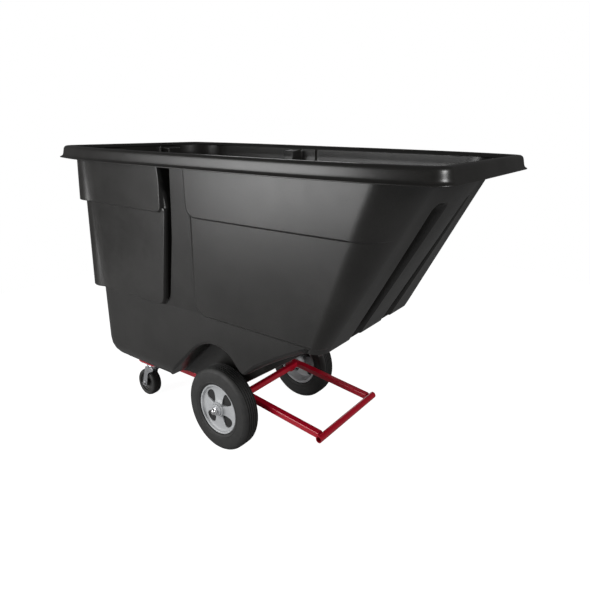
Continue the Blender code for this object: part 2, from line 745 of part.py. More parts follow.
# ---- casters ------------------------------------------------------------------------------
def build_caster(word, side):
    """One swivel caster, top down: plate, bolts, race, fork, kingpin and wheel."""
    x, y = CASTER_X, side * RAIL_Y
    under = CASTER_TOP - PLATE_T
    place = Matrix.Translation((x, y, under))
    outline = rounded_rect(PLATE_X, PLATE_Y, 0.006)
    plate = prism(f"{word}_caster_plate", outline, PLATE_T, place, zinc())
    hole(plate, f"{word}_kingpin", (x, y, CASTER_TOP), (0, 0, 1), PIN_R + GAP, 0.02)
    for k, (dx, dy) in enumerate(caster_bolt_places()):
        hole(plate, f"{word}_bolt_{k}", (x + dx, y + dy, CASTER_TOP), (0, 0, 1),
             CASTER_BOLT_R + GAP, 0.02, 8)
        hex_bolt(f"{word}_caster_bolt_{k + 1}", (x + dx, y + dy, under - GAP), (0, 0, 1),
                 CASTER_BOLT_R, 2 * PLATE_T + 2 * GAP, 0.0056, 0.0042)
    race_top = under - GAP
    race_foot = race_top - RACE_H
    outline = [(PIN_R + GAP, race_foot), (RACE_R - 0.0055, race_foot), (RACE_R, race_foot + 0.006),
               (RACE_R, race_foot + 0.010), (RACE_R - 0.0045, race_top), (PIN_R + GAP, race_top)]
    turned(f"{word}_caster_race", outline, 20, (x, y, 0), (0, 0, 1), zinc())
    crown_top = race_foot - GAP
    crown_foot = crown_top - FORK_T
    build_fork(word, x, y, crown_top, crown_foot)
    head_top = crown_foot - GAP
    outline = [(0.0, head_top - PIN_HEAD_H), (PIN_HEAD_R, head_top - PIN_HEAD_H),
               (PIN_HEAD_R, head_top), (PIN_R, head_top), (PIN_R, CASTER_TOP), (0.0, CASTER_TOP)]
    cap_solid(f"{word}_caster_kingpin", outline, (x, y, 0), (0, 0, 1))
    build_caster_wheel(word, side, x - CASTER_TRAIL, y)


def build_caster_wheel(word, side, x, y):
    centre = (x, y, CASTER_R)
    axis = (0, side, 0)
    half = CASTER_W / 2
    seat = CORE_R + GAP
    outline = [(seat, -half + 0.002), (CASTER_R - 0.005, -half), (CASTER_R, -half + 0.006),
               (CASTER_R, half - 0.006), (CASTER_R - 0.005, half), (seat, half - 0.002)]
    turned(f"{word}_caster_tread", outline, 20, centre, axis, rubber())
    right_half = [(CORE_BORE, CORE_HALF), (0.013, CORE_HALF), (0.0135, 0.006), (0.027, 0.006),
                  (0.029, 0.012), (CORE_R, 0.012)]
    outline = [(r, -h) for r, h in right_half] + right_half[::-1]
    turned(f"{word}_caster_core", outline, 20, centre, axis, black_plastic())
    outline = [(AXLE_HOLE, -BUSH_HALF), (CASTER_BUSH_R, -BUSH_HALF), (CASTER_BUSH_R, BUSH_HALF),
               (AXLE_HOLE, BUSH_HALF)]
    turned(f"{word}_caster_bush", outline, 16, centre, axis, zinc())
    face = FORK_HALF + FORK_T + GAP
    hex_bolt(f"{word}_caster_axle", (x, y + side * face, CASTER_R), (0, -side, 0), CASTER_AXLE_R,
             2 * face + 0.008, 0.0075, 0.005)
    hex_nut(f"{word}_caster_nut", (x, y - side * face, CASTER_R), (0, -side, 0), CASTER_AXLE_R,
            0.0075, 0.0065)


def leg_outline(crown_top):
    """Side view of a fork leg: from the crown back and down to a round eye at the axle."""
    points = [(CROWN_HALF - 0.002, crown_top), (0.002 - CROWN_HALF, crown_top),
              (-CROWN_HALF - 0.003, crown_top - 0.006), (-CASTER_TRAIL - FORK_EYE, CASTER_R)]
    for k in range(1, 6):
        a = math.pi + math.pi * k / 6
        points.append((FORK_EYE * math.cos(a) - CASTER_TRAIL, CASTER_R + FORK_EYE * math.sin(a)))
    points += [(FORK_EYE - CASTER_TRAIL, CASTER_R), (0.012, crown_top - 0.032),
               (CROWN_HALF - 0.002, crown_top - 0.012)]
    return points


def build_fork(word, x, y, crown_top, crown_foot):
    """Two legs joined by a crown plate under the race."""
    half = FORK_HALF + FORK_T / 2
    outline = [(-CROWN_HALF, -half), (CROWN_HALF, -half), (CROWN_HALF, half), (-CROWN_HALF, half)]
    place = Matrix.Translation((x, y, crown_foot))
    crown = prism(f"{word}_caster_fork", outline, FORK_T - 0.0005, place, zinc())
    for inner in (FORK_HALF, -FORK_HALF - FORK_T):
        place = frame_at((x, y + inner + FORK_T, 0), (1, 0, 0), (0, -1, 0))
        leg = prism(f"cut_{word}_leg_{inner:.3f}", leg_outline(crown_top), FORK_T, place, zinc())
        cut(crown, leg, "UNION")
    hole(crown, f"{word}_fork_pin", (x, y, crown_foot), (0, 0, 1), PIN_R + GAP, 0.02)
    hole(crown, f"{word}_fork_axle", (x - CASTER_TRAIL, y, CASTER_R), (0, 1, 0), AXLE_HOLE, 0.08)


# ---- fasteners ----------------------------------------------------------------------------
def hexagon(reach):
    """Hexagon with a point in the middle of each side."""
    points = []
    for k in range(BOLT_SEGMENTS):
        turn = 2 * math.pi * k / BOLT_SEGMENTS
        r = reach if k % 2 == 0 else reach * math.cos(math.pi / 6)
        points.append((r * math.cos(turn), r * math.sin(turn)))
    return points


def stepped(name, start, axis, sections, closed_loop):
    """Solid through (outline, distance along the axis) sections."""
    axis = Vector(axis).normalized()
    place = frame_at(Vector(start), axis.orthogonal(), axis)
    bm = bmesh.new()
    rings = [[place @ Vector((u, v, z)) for u, v in outline] for outline, z in sections]
    ring_solid(bm, rings, closed_loop)
    return add_object(name, bm, zinc(), 40)


def hex_bolt(name, start, axis, radius, length, head_r, head_h):
    """Shank from start along the axis, with the head behind start."""
    head = hexagon(head_r)
    shank = circle(radius, BOLT_SEGMENTS)
    stepped(name, start, axis, [(head, -head_h), (head, 0.0), (shank, 0.0), (shank, length)],
            False)


def hex_nut(name, start, axis, radius, nut_r, height):
    body = hexagon(nut_r)
    bore = circle(radius + GAP, BOLT_SEGMENTS)
    stepped(name, start, axis, [(body, 0.0), (body, height), (bore, height), (bore, 0.0)], True)


def build_tub_fasteners(word, side):
    """Round-headed bolts down through the tub's floor and a rail, with nuts below."""
    seat = TUB_FLOOR_Z + WALL + GAP
    low = RAIL_UNDER - TUB_NUT_H - 0.0025
    y = side * RAIL_Y
    for place, x in zip(("rear", "front"), TUB_BOLT_X):
        outline = [(0.0, low), (TUB_BOLT_R, low), (TUB_BOLT_R, seat), (TUB_HEAD_R, seat),
                   (TUB_HEAD_R - 0.001, seat + TUB_HEAD_H / 2),
                   (TUB_HEAD_R / 2, seat + TUB_HEAD_H - 0.0005), (0.0, seat + TUB_HEAD_H)]
        cap_solid(f"{word}_{place}_tub_bolt", outline, (x, y, 0), (0, 0, 1))
        hex_nut(f"{word}_{place}_tub_nut", (x, y, RAIL_UNDER - GAP), (0, 0, -1), TUB_BOLT_R,
                TUB_NUT_R, TUB_NUT_H)


def main():
    clear_scene()
    build_tub()
    build_cross_pieces()
    for word, side in (("left", 1), ("right", -1)):
        build_rail(word, side)
        build_bracket(word, side)
        build_wheel(word, side)
        build_caster(word, side)
        build_tub_fasteners(word, side)


main()
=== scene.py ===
"""Visual model of the tilt truck: tub, tube frame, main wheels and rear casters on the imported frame.

Metres, +Z up, +X towards the dumping end. Camera and light first, then materials, then one
section for each group of pieces.
"""
import json
import math

import bmesh
import bpy
import numpy as np
from mathutils import Matrix, Vector


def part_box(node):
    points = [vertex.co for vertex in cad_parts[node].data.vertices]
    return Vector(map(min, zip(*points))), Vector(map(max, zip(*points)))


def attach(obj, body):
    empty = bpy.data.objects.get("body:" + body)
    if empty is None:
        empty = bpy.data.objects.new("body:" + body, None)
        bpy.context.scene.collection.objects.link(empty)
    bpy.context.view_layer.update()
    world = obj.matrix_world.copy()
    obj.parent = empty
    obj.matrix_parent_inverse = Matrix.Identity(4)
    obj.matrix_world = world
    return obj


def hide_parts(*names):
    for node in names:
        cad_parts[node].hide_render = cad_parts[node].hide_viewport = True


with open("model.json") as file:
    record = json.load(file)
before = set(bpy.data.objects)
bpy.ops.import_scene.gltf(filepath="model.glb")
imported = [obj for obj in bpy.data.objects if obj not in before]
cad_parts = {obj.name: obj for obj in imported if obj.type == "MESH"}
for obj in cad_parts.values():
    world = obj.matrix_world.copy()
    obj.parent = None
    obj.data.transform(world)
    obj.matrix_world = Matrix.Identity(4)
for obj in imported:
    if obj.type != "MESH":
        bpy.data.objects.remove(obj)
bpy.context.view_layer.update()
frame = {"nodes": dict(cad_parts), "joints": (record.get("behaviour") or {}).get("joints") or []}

# ---- sizes taken from the frame ------------------------------------------------------------
TUB_LOW, TUB_HIGH = (Vector(corner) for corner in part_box("tub"))
LENGTH = TUB_HIGH.x - TUB_LOW.x
WIDTH = TUB_HIGH.y - TUB_LOW.y
REAR = TUB_LOW.x
FLOOR_Z = TUB_LOW.z
JOINTS = {joint["name"]: Vector(joint["pos_m"]) for joint in frame["joints"]}
WHEEL = JOINTS["left_wheel_spin"]
CASTER_WHEEL = JOINTS["left_caster_spin"]
SWIVEL = JOINTS["left_caster_turn"]
TYRE_LOW, TYRE_HIGH = (Vector(corner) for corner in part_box("left_wheel_tyre"))
TREAD_LOW, TREAD_HIGH = (Vector(corner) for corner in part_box("left_caster_tread"))
RAIL_LOW, RAIL_HIGH = (Vector(corner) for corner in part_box("left_frame_rail"))
CROSS_LOW, CROSS_HIGH = (Vector(corner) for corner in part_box("axle_cross_tube"))
STOP_LOW, STOP_HIGH = (Vector(corner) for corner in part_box("front_stop_tube"))
CAP_LOW, CAP_HIGH = (Vector(corner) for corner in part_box("left_axle_cap"))
FORK_LOW, FORK_HIGH = (Vector(corner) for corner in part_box("left_caster_fork"))

# ---- camera --------------------------------------------------------------------------------
CAMERA_PLACE = (1.1729, -1.2087, 1.0632)
CAMERA_YAW = math.radians(31.3214)
CAMERA_PITCH = math.radians(-9.5519)
CAMERA_ROLL = math.radians(0.6274)
CAMERA_LENS = 30.2145
CAMERA_SHIFT = (-0.15364, -0.14626)
SENSOR_WIDTH = 36.0


def add_camera():
    data = bpy.data.cameras.new("camera")
    data.sensor_width = SENSOR_WIDTH
    data.lens = CAMERA_LENS
    data.shift_x, data.shift_y = CAMERA_SHIFT
    camera = bpy.data.objects.new("camera", data)
    bpy.context.scene.collection.objects.link(camera)
    forward = Vector((-math.sin(CAMERA_YAW) * math.cos(CAMERA_PITCH),
                      math.cos(CAMERA_YAW) * math.cos(CAMERA_PITCH), math.sin(CAMERA_PITCH)))
    right = forward.cross(Vector((0, 0, 1))).normalized()
    up = right.cross(forward)
    turned_right = math.cos(CAMERA_ROLL) * right + math.sin(CAMERA_ROLL) * up
    turned_up = -math.sin(CAMERA_ROLL) * right + math.cos(CAMERA_ROLL) * up
    axes = Matrix((turned_right, turned_up, -forward)).transposed().to_4x4()
    camera.matrix_world = Matrix.Translation(Vector(CAMERA_PLACE)) @ axes
    bpy.context.scene.camera = camera


# ---- studio --------------------------------------------------------------------------------
AMBIENT = 0.09                  # what the object mirrors where no softbox is
PAPER_R = 2.4                   # radius of the white floor
PAPER_GREY = 0.35
PAPER_GLOW = 0.95               # the floor's own light, for the camera only
PAPER_SPILL = 0.03              # and for everything else

# softboxes: name, place, target, size and power
SOFTBOXES = (("side_box", (-1.35, -2.55, 0.95), (0.0, -0.3, 0.6), (1.9, 2.1), 82),
             ("front_box", (3.6, -0.6, 2.1), (0.6, -0.2, 0.9), (1.0, 1.0), 75),
             ("back_box", (-2.6, 2.8, 1.2), (-0.2, 0.2, 0.5), (1.6, 1.6), 12))


def add_area_light(name, place, target, size, power):
    data = bpy.data.lights.new(name, "AREA")
    data.shape = "RECTANGLE"
    data.size, data.size_y = size
    data.energy = power
    light = bpy.data.objects.new(name, data)
    bpy.context.scene.collection.objects.link(light)
    aim = (Vector(target) - Vector(place)).normalized()
    turn = aim.to_track_quat("-Z", "Y").to_matrix().to_4x4()
    light.matrix_world = Matrix.Translation(Vector(place)) @ turn


def studio_world():
    """White behind the object, dim for everything that the object mirrors."""
    world = bpy.data.worlds.new("studio")
    world.use_nodes = True
    nodes, links = world.node_tree.nodes, world.node_tree.links
    paths = nodes.new("ShaderNodeLightPath")
    seen = nodes.new("ShaderNodeMix")
    seen.data_type = "RGBA"
    seen.inputs["A"].default_value = (AMBIENT, AMBIENT, AMBIENT, 1.0)
    seen.inputs["B"].default_value = (1.0, 1.0, 1.0, 1.0)
    links.new(paths.outputs["Is Camera Ray"], seen.inputs["Factor"])
    links.new(seen.outputs["Result"], nodes["Background"].inputs["Color"])
    return world


def add_studio():
    """Pale paper under the object, white to the camera but dim in reflections, and softboxes."""
    scene = bpy.context.scene
    scene.view_settings.view_transform = "Standard"
    scene.world = studio_world()
    bm = bmesh.new()
    bmesh.ops.create_circle(bm, cap_ends=True, segments=96, radius=PAPER_R)
    floor = new_object("studio_floor", bm)
    paper = principled("floor_white", (PAPER_GREY, PAPER_GREY, PAPER_GREY), 0.9)
    shader = paper.node_tree.nodes["Principled BSDF"]
    shader.inputs["Emission Color"].default_value = (1.0, 1.0, 1.0, 1.0)
    paths = node(paper, "ShaderNodeLightPath")
    glow = remap(paper, paths.outputs["Is Camera Ray"], PAPER_SPILL, PAPER_GLOW)
    paper.node_tree.links.new(glow, shader.inputs["Emission Strength"])
    floor.data.materials.append(paper)
    for softbox in SOFTBOXES:
        add_area_light(*softbox)


# ---- mesh helpers --------------------------------------------------------------------------
def new_object(name, bm, smooth=None):
    mesh = bpy.data.meshes.new(name)
    bm.to_mesh(mesh)
    bm.free()
    return link_mesh(name, mesh, smooth)


def link_mesh(name, mesh, smooth=None):
    if smooth:
        mesh.shade_smooth()
        if smooth < 180:
            mesh.set_sharp_from_angle(angle=math.radians(smooth))
    obj = bpy.data.objects.new(name, mesh)
    bpy.context.scene.collection.objects.link(obj)
    return obj


def grid_faces(bm, rows, loop_columns=True, loop_rows=False):
    """Faces between neighbouring rows of vertices."""
    pairs = list(zip(rows, rows[1:]))
    if loop_rows:
        pairs.append((rows[-1], rows[0]))
    for low, high in pairs:
        count = len(low)
        for i in range(count if loop_columns else count - 1):
            j = (i + 1) % count
            bm.faces.new((low[i], low[j], high[j], high[i]))


def lathe(name, profile, centre, segments=96, smooth=35, axis="Y"):
    """Turn a closed (radius, along) outline about the Y or Z axis through centre."""
    bm = bmesh.new()
    rows = []
    for k in range(segments):
        a = 2 * math.pi * k / segments
        row = []
        for r, h in profile:
            u, v = r * math.cos(a), r * math.sin(a)
            local = Vector((u, h, v)) if axis == "Y" else Vector((u, v, h))
            row.append(bm.verts.new(local + Vector(centre)))
        rows.append(row)
    grid_faces(bm, rows, True, True)
    bmesh.ops.remove_doubles(bm, verts=bm.verts, dist=1e-6)
    bmesh.ops.dissolve_degenerate(bm, edges=bm.edges, dist=1e-7)
    bmesh.ops.recalc_face_normals(bm, faces=bm.faces)
    return new_object(name, bm, smooth)


def prism(name, outline, depth, place, smooth=35):
    """Extrude an outline in local XY from z=0 to z=depth, then place it."""
    bm = bmesh.new()
    low = [bm.verts.new(place @ Vector((x, y, 0))) for x, y in outline]
    high = [bm.verts.new(place @ Vector((x, y, depth))) for x, y in outline]
    grid_faces(bm, [low, high])
    bm.faces.new(low)
    bm.faces.new(high)
    bmesh.ops.recalc_face_normals(bm, faces=bm.faces)
    return new_object(name, bm, smooth)


def soften(obj, width, segments=3, angle=30):
    bevel = obj.modifiers.new("soft_edges", "BEVEL")
    bevel.width = width
    bevel.segments = segments
    bevel.limit_method = "ANGLE"
    bevel.angle_limit = math.radians(angle)
    bevel.harden_normals = False


def frame_at(origin, x_axis, z_axis):
    z = Vector(z_axis).normalized()
    x = Vector(x_axis).normalized()
    rot = Matrix((x, z.cross(x), z)).transposed().to_4x4()
    return Matrix.Translation(Vector(origin)) @ rot


def rounded_rect(half_x, half_y, radius, steps=6):
    points = []
    for cx, cy, start in ((1, 1, 0), (-1, 1, 90), (-1, -1, 180), (1, -1, 270)):
        for k in range(steps + 1):
            a = math.radians(start + 90 * k / steps)
            points.append((cx * (half_x - radius) + radius * math.cos(a),
                           cy * (half_y - radius) + radius * math.sin(a)))
    return points


def finish_piece(obj, mat, body, slot, *nodes):
    """Give a piece its material and body, and name the CAD nodes that it replaces. The slot is not used.
    """
    obj.data.materials.clear()
    obj.data.materials.append(mat)
    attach(obj, body)
    if nodes:
        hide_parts(*nodes)
    return obj


def use_node(name, mat, bevel=0.0):
    """Show a CAD node as it is, with a material and, where asked, soft edges."""
    obj = frame["nodes"][name]
    obj.data.materials.clear()
    obj.data.materials.append(mat)
    if bevel:
        soften(obj, bevel, 2)
    return obj


# ---- materials -----------------------------------------------------------------------------
def principled(name, colour, roughness, metallic=0.0):
    mat = bpy.data.materials.new(name)
    mat.use_nodes = True
    shader = mat.node_tree.nodes["Principled BSDF"]
    shader.inputs["Base Color"].default_value = (*colour, 1.0)
    shader.inputs["Roughness"].default_value = roughness
    shader.inputs["Metallic"].default_value = metallic
    return mat


def node(mat, kind, **values):
    made = mat.node_tree.nodes.new(kind)
    for key, value in values.items():
        if key in made.inputs:
            made.inputs[key].default_value = value
        else:
            setattr(made, key, value)
    return made


def object_coords(mat):
    return node(mat, "ShaderNodeTexCoord").outputs["Object"]


def ramp(mat, source, low, high, colour_low, colour_high):
    made = node(mat, "ShaderNodeValToRGB")
    made.color_ramp.elements[0].position = low
    made.color_ramp.elements[0].color = (*colour_low, 1.0)
    made.color_ramp.elements[1].position = high
    made.color_ramp.elements[1].color = (*colour_high, 1.0)
    mat.node_tree.links.new(source, made.inputs["Fac"])
    return made.outputs["Color"]


def noise(mat, coords, scale, detail=4.0, roughness=0.5):
    made = node(mat, "ShaderNodeTexNoise", Scale=scale, Detail=detail, Roughness=roughness)
    mat.node_tree.links.new(coords, made.inputs["Vector"])
    return made.outputs["Fac"]


def remap(mat, source, low, high):
    """Stretch a 0 to 1 value over low to high."""
    made = node(mat, "ShaderNodeMapRange")
    made.inputs["To Min"].default_value = low
    made.inputs["To Max"].default_value = high
    mat.node_tree.links.new(source, made.inputs["Value"])
    return made.outputs["Result"]


def bump(mat, height, strength, distance, normal=None):
    made = node(mat, "ShaderNodeBump", Strength=strength, Distance=distance)
    mat.node_tree.links.new(height, made.inputs["Height"])
    if normal:
        mat.node_tree.links.new(normal, made.inputs["Normal"])
    return made.outputs["Normal"]


def moulded_plastic(name, dark, light, rough_low, rough_high, grain=900.0, grain_depth=0.00025):
    """Rotomoulded polyethylene: fine grain, cloudy sheen and slow waves in the surface."""
    mat = principled(name, dark, rough_low)
    link = mat.node_tree.links.new
    shader = mat.node_tree.nodes["Principled BSDF"]
    coords = object_coords(mat)
    cloud = noise(mat, coords, 9.0, 5.0)
    speck = noise(mat, coords, 420.0, 2.0)
    mixed = node(mat, "ShaderNodeMath", operation="MULTIPLY")
    link(cloud, mixed.inputs[0])
    link(speck, mixed.inputs[1])
    link(ramp(mat, mixed.outputs[0], 0.15, 0.38, dark, light), shader.inputs["Base Color"])
    rough = remap(mat, noise(mat, coords, 22.0, 6.0, 0.6), rough_low, rough_high)
    link(rough, shader.inputs["Roughness"])
    wave = bump(mat, noise(mat, coords, 5.0, 1.0), 0.30, 0.004)
    fine = bump(mat, noise(mat, coords, grain, 3.0, 0.6), 0.30, grain_depth, wave)
    link(fine, shader.inputs["Normal"])
    return mat


def rubber_material(name):
    mat = principled(name, (0.0165, 0.0165, 0.0160), 0.7)
    link = mat.node_tree.links.new
    shader = mat.node_tree.nodes["Principled BSDF"]
    coords = object_coords(mat)
    link(ramp(mat, noise(mat, coords, 60.0, 6.0, 0.6), 0.3, 0.7, (0.0121, 0.0121, 0.0118),
              (0.0198, 0.0195, 0.0187)), shader.inputs["Base Color"])
    link(remap(mat, noise(mat, coords, 35.0, 4.0), 0.55, 0.78), shader.inputs["Roughness"])
    link(bump(mat, noise(mat, coords, 1100.0, 2.0), 0.25, 0.0002), shader.inputs["Normal"])
    return mat


def powder_coat(name):
    mat = principled(name, (0.42, 0.003, 0.018), 0.3)
    link = mat.node_tree.links.new
    shader = mat.node_tree.nodes["Principled BSDF"]
    shader.inputs["Coat Weight"].default_value = 0.35
    shader.inputs["Coat Roughness"].default_value = 0.12
    coords = object_coords(mat)
    link(ramp(mat, noise(mat, coords, 30.0, 3.0), 0.3, 0.7, (0.37, 0.002, 0.014),
              (0.47, 0.004, 0.022)), shader.inputs["Base Color"])
    link(remap(mat, noise(mat, coords, 90.0, 3.0), 0.24, 0.38), shader.inputs["Roughness"])
    link(bump(mat, noise(mat, coords, 380.0, 2.0), 0.18, 0.0003), shader.inputs["Normal"])
    return mat


def metal(name, colour, rough_low, rough_high):
    """Zinc plate: blotchy sheen and very fine scratches."""
    mat = principled(name, colour, rough_low, 1.0)
    link = mat.node_tree.links.new
    shader = mat.node_tree.nodes["Principled BSDF"]
    coords = object_coords(mat)
    paler = tuple(min(1.0, c * 1.18) for c in colour)
    link(ramp(mat, noise(mat, coords, 45.0, 5.0, 0.6), 0.3, 0.7, colour, paler),
         shader.inputs["Base Color"])
    rough = remap(mat, noise(mat, coords, 140.0, 4.0), rough_low, rough_high)
    link(rough, shader.inputs["Roughness"])
    link(bump(mat, noise(mat, coords, 700.0, 2.0), 0.12, 0.0002), shader.inputs["Normal"])
    return mat


add_camera()
add_studio()
TUB_BLACK = moulded_plastic("tub_black", (0.0095, 0.0090, 0.0083), (0.017, 0.0162, 0.0152),
                            0.27, 0.36)
CORE_BLACK = moulded_plastic("caster_core_black", (0.020, 0.020, 0.020), (0.034, 0.033, 0.032),
                             0.40, 0.55)
HUB_GREY = moulded_plastic("hub_grey", (0.40, 0.41, 0.42), (0.50, 0.51, 0.52), 0.30, 0.42,
                           600.0, 0.0002)
# painted shade: near-black material for the plate that stands in for the shadow seen through the hub's
# windows
PAINTED_SHADE_BLACK = principled("hub_painted_shade", (0.014, 0.014, 0.014), 0.8)
RUBBER = rubber_material("tyre_rubber")
RED = powder_coat("frame_red")
ZINC = metal("zinc_plate", (0.60, 0.61, 0.63), 0.22, 0.40)
BRIGHT = metal("bright_zinc", (0.78, 0.78, 0.79), 0.12, 0.22)
DARK_STEEL = metal("dark_steel", (0.30, 0.30, 0.31), 0.35, 0.5)


# ---- tub: wall shape -----------------------------------------------------------------------
WALL = 0.006
SKIRT_Z = 0.9395                # lower edge of the rim's skirt
UNDER_Z = 0.968                 # underside of the rim, inside the skirt
RIM_CORNER = 0.060
RIM_BOW = 0.060
RIM_POWER = 4                   # the sides stay straight for long, then bend in
FRONT_BULGE = 0.060             # how far the front wall bulges per metre of height
STEP_HIGH = 0.790               # lower edge of the upper pads and panels
STEP_LOW = 0.472                # lower edge of the lower pads and panels
FRONT_FOOT = (REAR + 1.167, 0.469)       # x and z of the front wall's foot
FRONT_RUN = 0.612               # x gained per metre of height
UNDER_FOOT = (REAR + 1.152, 0.476)       # x and z of a point on the sloping underside
UNDER_RISE = 0.664              # height gained per metre of x
ARCH = (REAR + 0.735, 0.206, 0.170)      # x, z and radius of the wheel arch
ARCH_TAIL = math.radians(42.0)
WELL_Y = 0.152                  # inner wall of the wheel wells
REAR_FOOT_R = 0.102
SIDE_FOOT_R = 0.085
CHANNEL_DEPTH = 0.047
CHANNEL_TOP = 0.958
REAR_CHANNEL = (0.092, 0.148)   # distance of its two edges from the middle plane
FRONT_CHANNEL = (0.058, 0.112)
FRONT_CHANNEL_DEPTH = 0.036
FRONT_CHANNEL_TOP = 0.868
REAR_LAND = 0.158               # half width of the rear's columns, squeezed where it is narrower

# straight-line tables of (height, value), lowest height first
WALL_REAR = ((0.260, 0.084), (0.472, 0.085), (0.790, 0.067), (0.940, 0.064))
WALL_HALF = ((0.200, 0.236), (0.472, 0.247), (0.790, 0.279), (0.940, 0.297))
REAR_CORNER = ((0.200, 0.078), (0.472, 0.085), (0.940, 0.120))
FRONT_CORNER = ((0.472, 0.040), (0.940, 0.120))
BOW = ((0.472, 0.0), (0.940, 0.014))
PAD_HIGH_EDGE = ((0.790, 0.574), (0.940, 0.596))     # front edges of the pads, x from the rear
PAD_LOW_EDGE = ((0.472, 0.517), (0.800, 0.587))
CHANNEL_EDGE = ((0.472, 0.530), (0.533, 0.547), (0.707, 0.593), (0.940, 0.638))
PANEL_HIGH_EDGE = ((0.790, 0.693), (0.940, 0.703))
PANEL_LOW_EDGE = ((0.472, 0.664), (0.800, 0.703))
PAD_SIDE = (0.008, 0.013, 0.006, 0.015)  # land heights: upper top and foot, lower top and foot
PAD_REAR = (0.025, 0.040, 0.015, 0.039)
PANEL = (0.006, 0.012, 0.003, 0.008)


def table(z, rows):
    return np.interp(z, [row[0] for row in rows], [row[1] for row in rows])


def step(distance, width):
    """Smooth 0 to 1 as distance goes from -width/2 to width/2."""
    t = np.clip(distance / width + 0.5, 0.0, 1.0)
    return t * t * (3 - 2 * t)


def corner_distance(across, down, radius):
    """Distance outside a quarter region across < 0, down < 0 with a rounded corner."""
    u = across + radius
    v = down + radius
    inside = np.minimum(np.maximum(u, v), 0.0)
    return inside + np.hypot(np.maximum(u, 0.0), np.maximum(v, 0.0)) - radius


def zone_height(steps, z, upper):
    if upper:
        t = np.clip((z - STEP_HIGH) / (SKIRT_Z - STEP_HIGH), 0.0, 1.0)
        return steps[1] + (steps[0] - steps[1]) * t
    t = np.clip((z - STEP_LOW) / (STEP_HIGH - STEP_LOW), 0.0, 1.0)
    return steps[3] + (steps[2] - steps[3]) * t


def side_land(x, z, inset):
    """Pads and panels of a side wall, over the plain wall; x is measured from the rear."""
    edge = 0.0055
    high = corner_distance(x - table(z, PAD_HIGH_EDGE) + inset, STEP_HIGH - z + inset, 0.020)
    height = zone_height(PAD_SIDE, z, True) * step(-high, edge)
    low = corner_distance(x - table(z, PAD_LOW_EDGE) + inset, STEP_LOW - z + inset, 0.022)
    top = corner_distance(x - table(z, PAD_LOW_EDGE) + inset, z - 0.806, 0.012)
    height = np.maximum(height, zone_height(PAD_SIDE, z, False) * step(-np.maximum(low, top), edge))
    high = corner_distance(table(z, PANEL_HIGH_EDGE) - x + inset, STEP_HIGH - z + inset, 0.034)
    height = np.maximum(height, zone_height(PANEL, z, True) * step(-high, 0.008))
    low = corner_distance(table(z, PANEL_LOW_EDGE) - x + inset, STEP_LOW - z + inset, 0.045)
    return np.maximum(height, zone_height(PANEL, z, False) * step(-low, 0.009))


def band_land(steps, z, inset):
    """Land that runs all the way round at one place, such as the rear pads."""
    high = zone_height(steps, z, True) * step(z - STEP_HIGH - inset, 0.0055)
    low = zone_height(steps, z, False) * step(z - STEP_LOW - inset, 0.0055)
    return np.maximum(high, low)


def channel_top(z, inset):
    """Channels run up almost to the rim; the inner skin closes a wall thickness higher."""
    return step(CHANNEL_TOP + 0.9 * inset - z, 0.009)


def side_channel(x, z, inset):
    front = x - table(z, CHANNEL_EDGE) + 0.005 - inset
    rear = table(z, PAD_LOW_EDGE) + 0.004 - x - inset
    foot = corner_distance(front, STEP_LOW + 0.004 - z - inset, 0.045)
    across = np.maximum(foot, rear)
    return CHANNEL_DEPTH * step(-across, 0.009) * channel_top(z, inset)


def rear_channel(y, z, inset):
    a, b = REAR_CHANNEL
    across = np.maximum(a + 0.003 - y, y - b + 0.003) - inset
    foot = STEP_LOW + 0.004 - z - inset
    return CHANNEL_DEPTH * step(-np.maximum(across, foot), 0.009) * channel_top(z, inset)


def front_channel(y, z, inset):
    c, d = FRONT_CHANNEL
    middle = (c + d) / 2
    half = (d - c) / 2 - 0.003
    across = corner_distance(np.abs(y - middle) - half - inset, z - FRONT_CHANNEL_TOP - inset, 0.016)
    return FRONT_CHANNEL_DEPTH * step(-across, 0.009)


def front_x(z):
    return FRONT_FOOT[0] + (z - FRONT_FOOT[1]) * FRONT_RUN


def underside(x, inset):
    slope = UNDER_FOOT[1] + (x - UNDER_FOOT[0]) * UNDER_RISE + inset * 1.2
    return max(slope, FLOOR_Z + inset)


def smooth_max(a, b, width):
    """The larger of two heights, blended where they are within width of each other."""
    near = max(width - abs(a - b), 0.0)
    return max(a, b) + near * near / (4 * width)


def arch_z(x, grow):
    """Height of the wheel arch over x, never under the underside."""
    ax, az, radius = ARCH[0], ARCH[1], ARCH[2] + grow
    tail_x = ax - radius * math.sin(ARCH_TAIL)
    if x < tail_x:
        z = az + radius * math.cos(ARCH_TAIL) - (tail_x - x) * math.tan(ARCH_TAIL)
    elif x < ax + radius:
        z = az + math.sqrt(radius ** 2 - (x - ax) ** 2)
    else:
        z = FLOOR_Z
    return smooth_max(z, underside(x, grow), 0.075 if x > ax else 0.02)


# ---- tub: columns --------------------------------------------------------------------------
SIDE_GAPS = (0.10, 0.055, 0.16, 0.055, 0.12, 0.07, 0.010)    # column spacing on each side span
LAST_SPAN = len(SIDE_GAPS) - 1
FOOT_ROWS = 18                  # rows of a column from the lowest level to the edge of the foot
BEND_ROWS = 6                   # the last of them, which a side column spends on its round foot


def spread(start, end, spacing):
    count = max(1, round((end - start) / spacing))
    return list(np.linspace(start, end, count, endpoint=False))


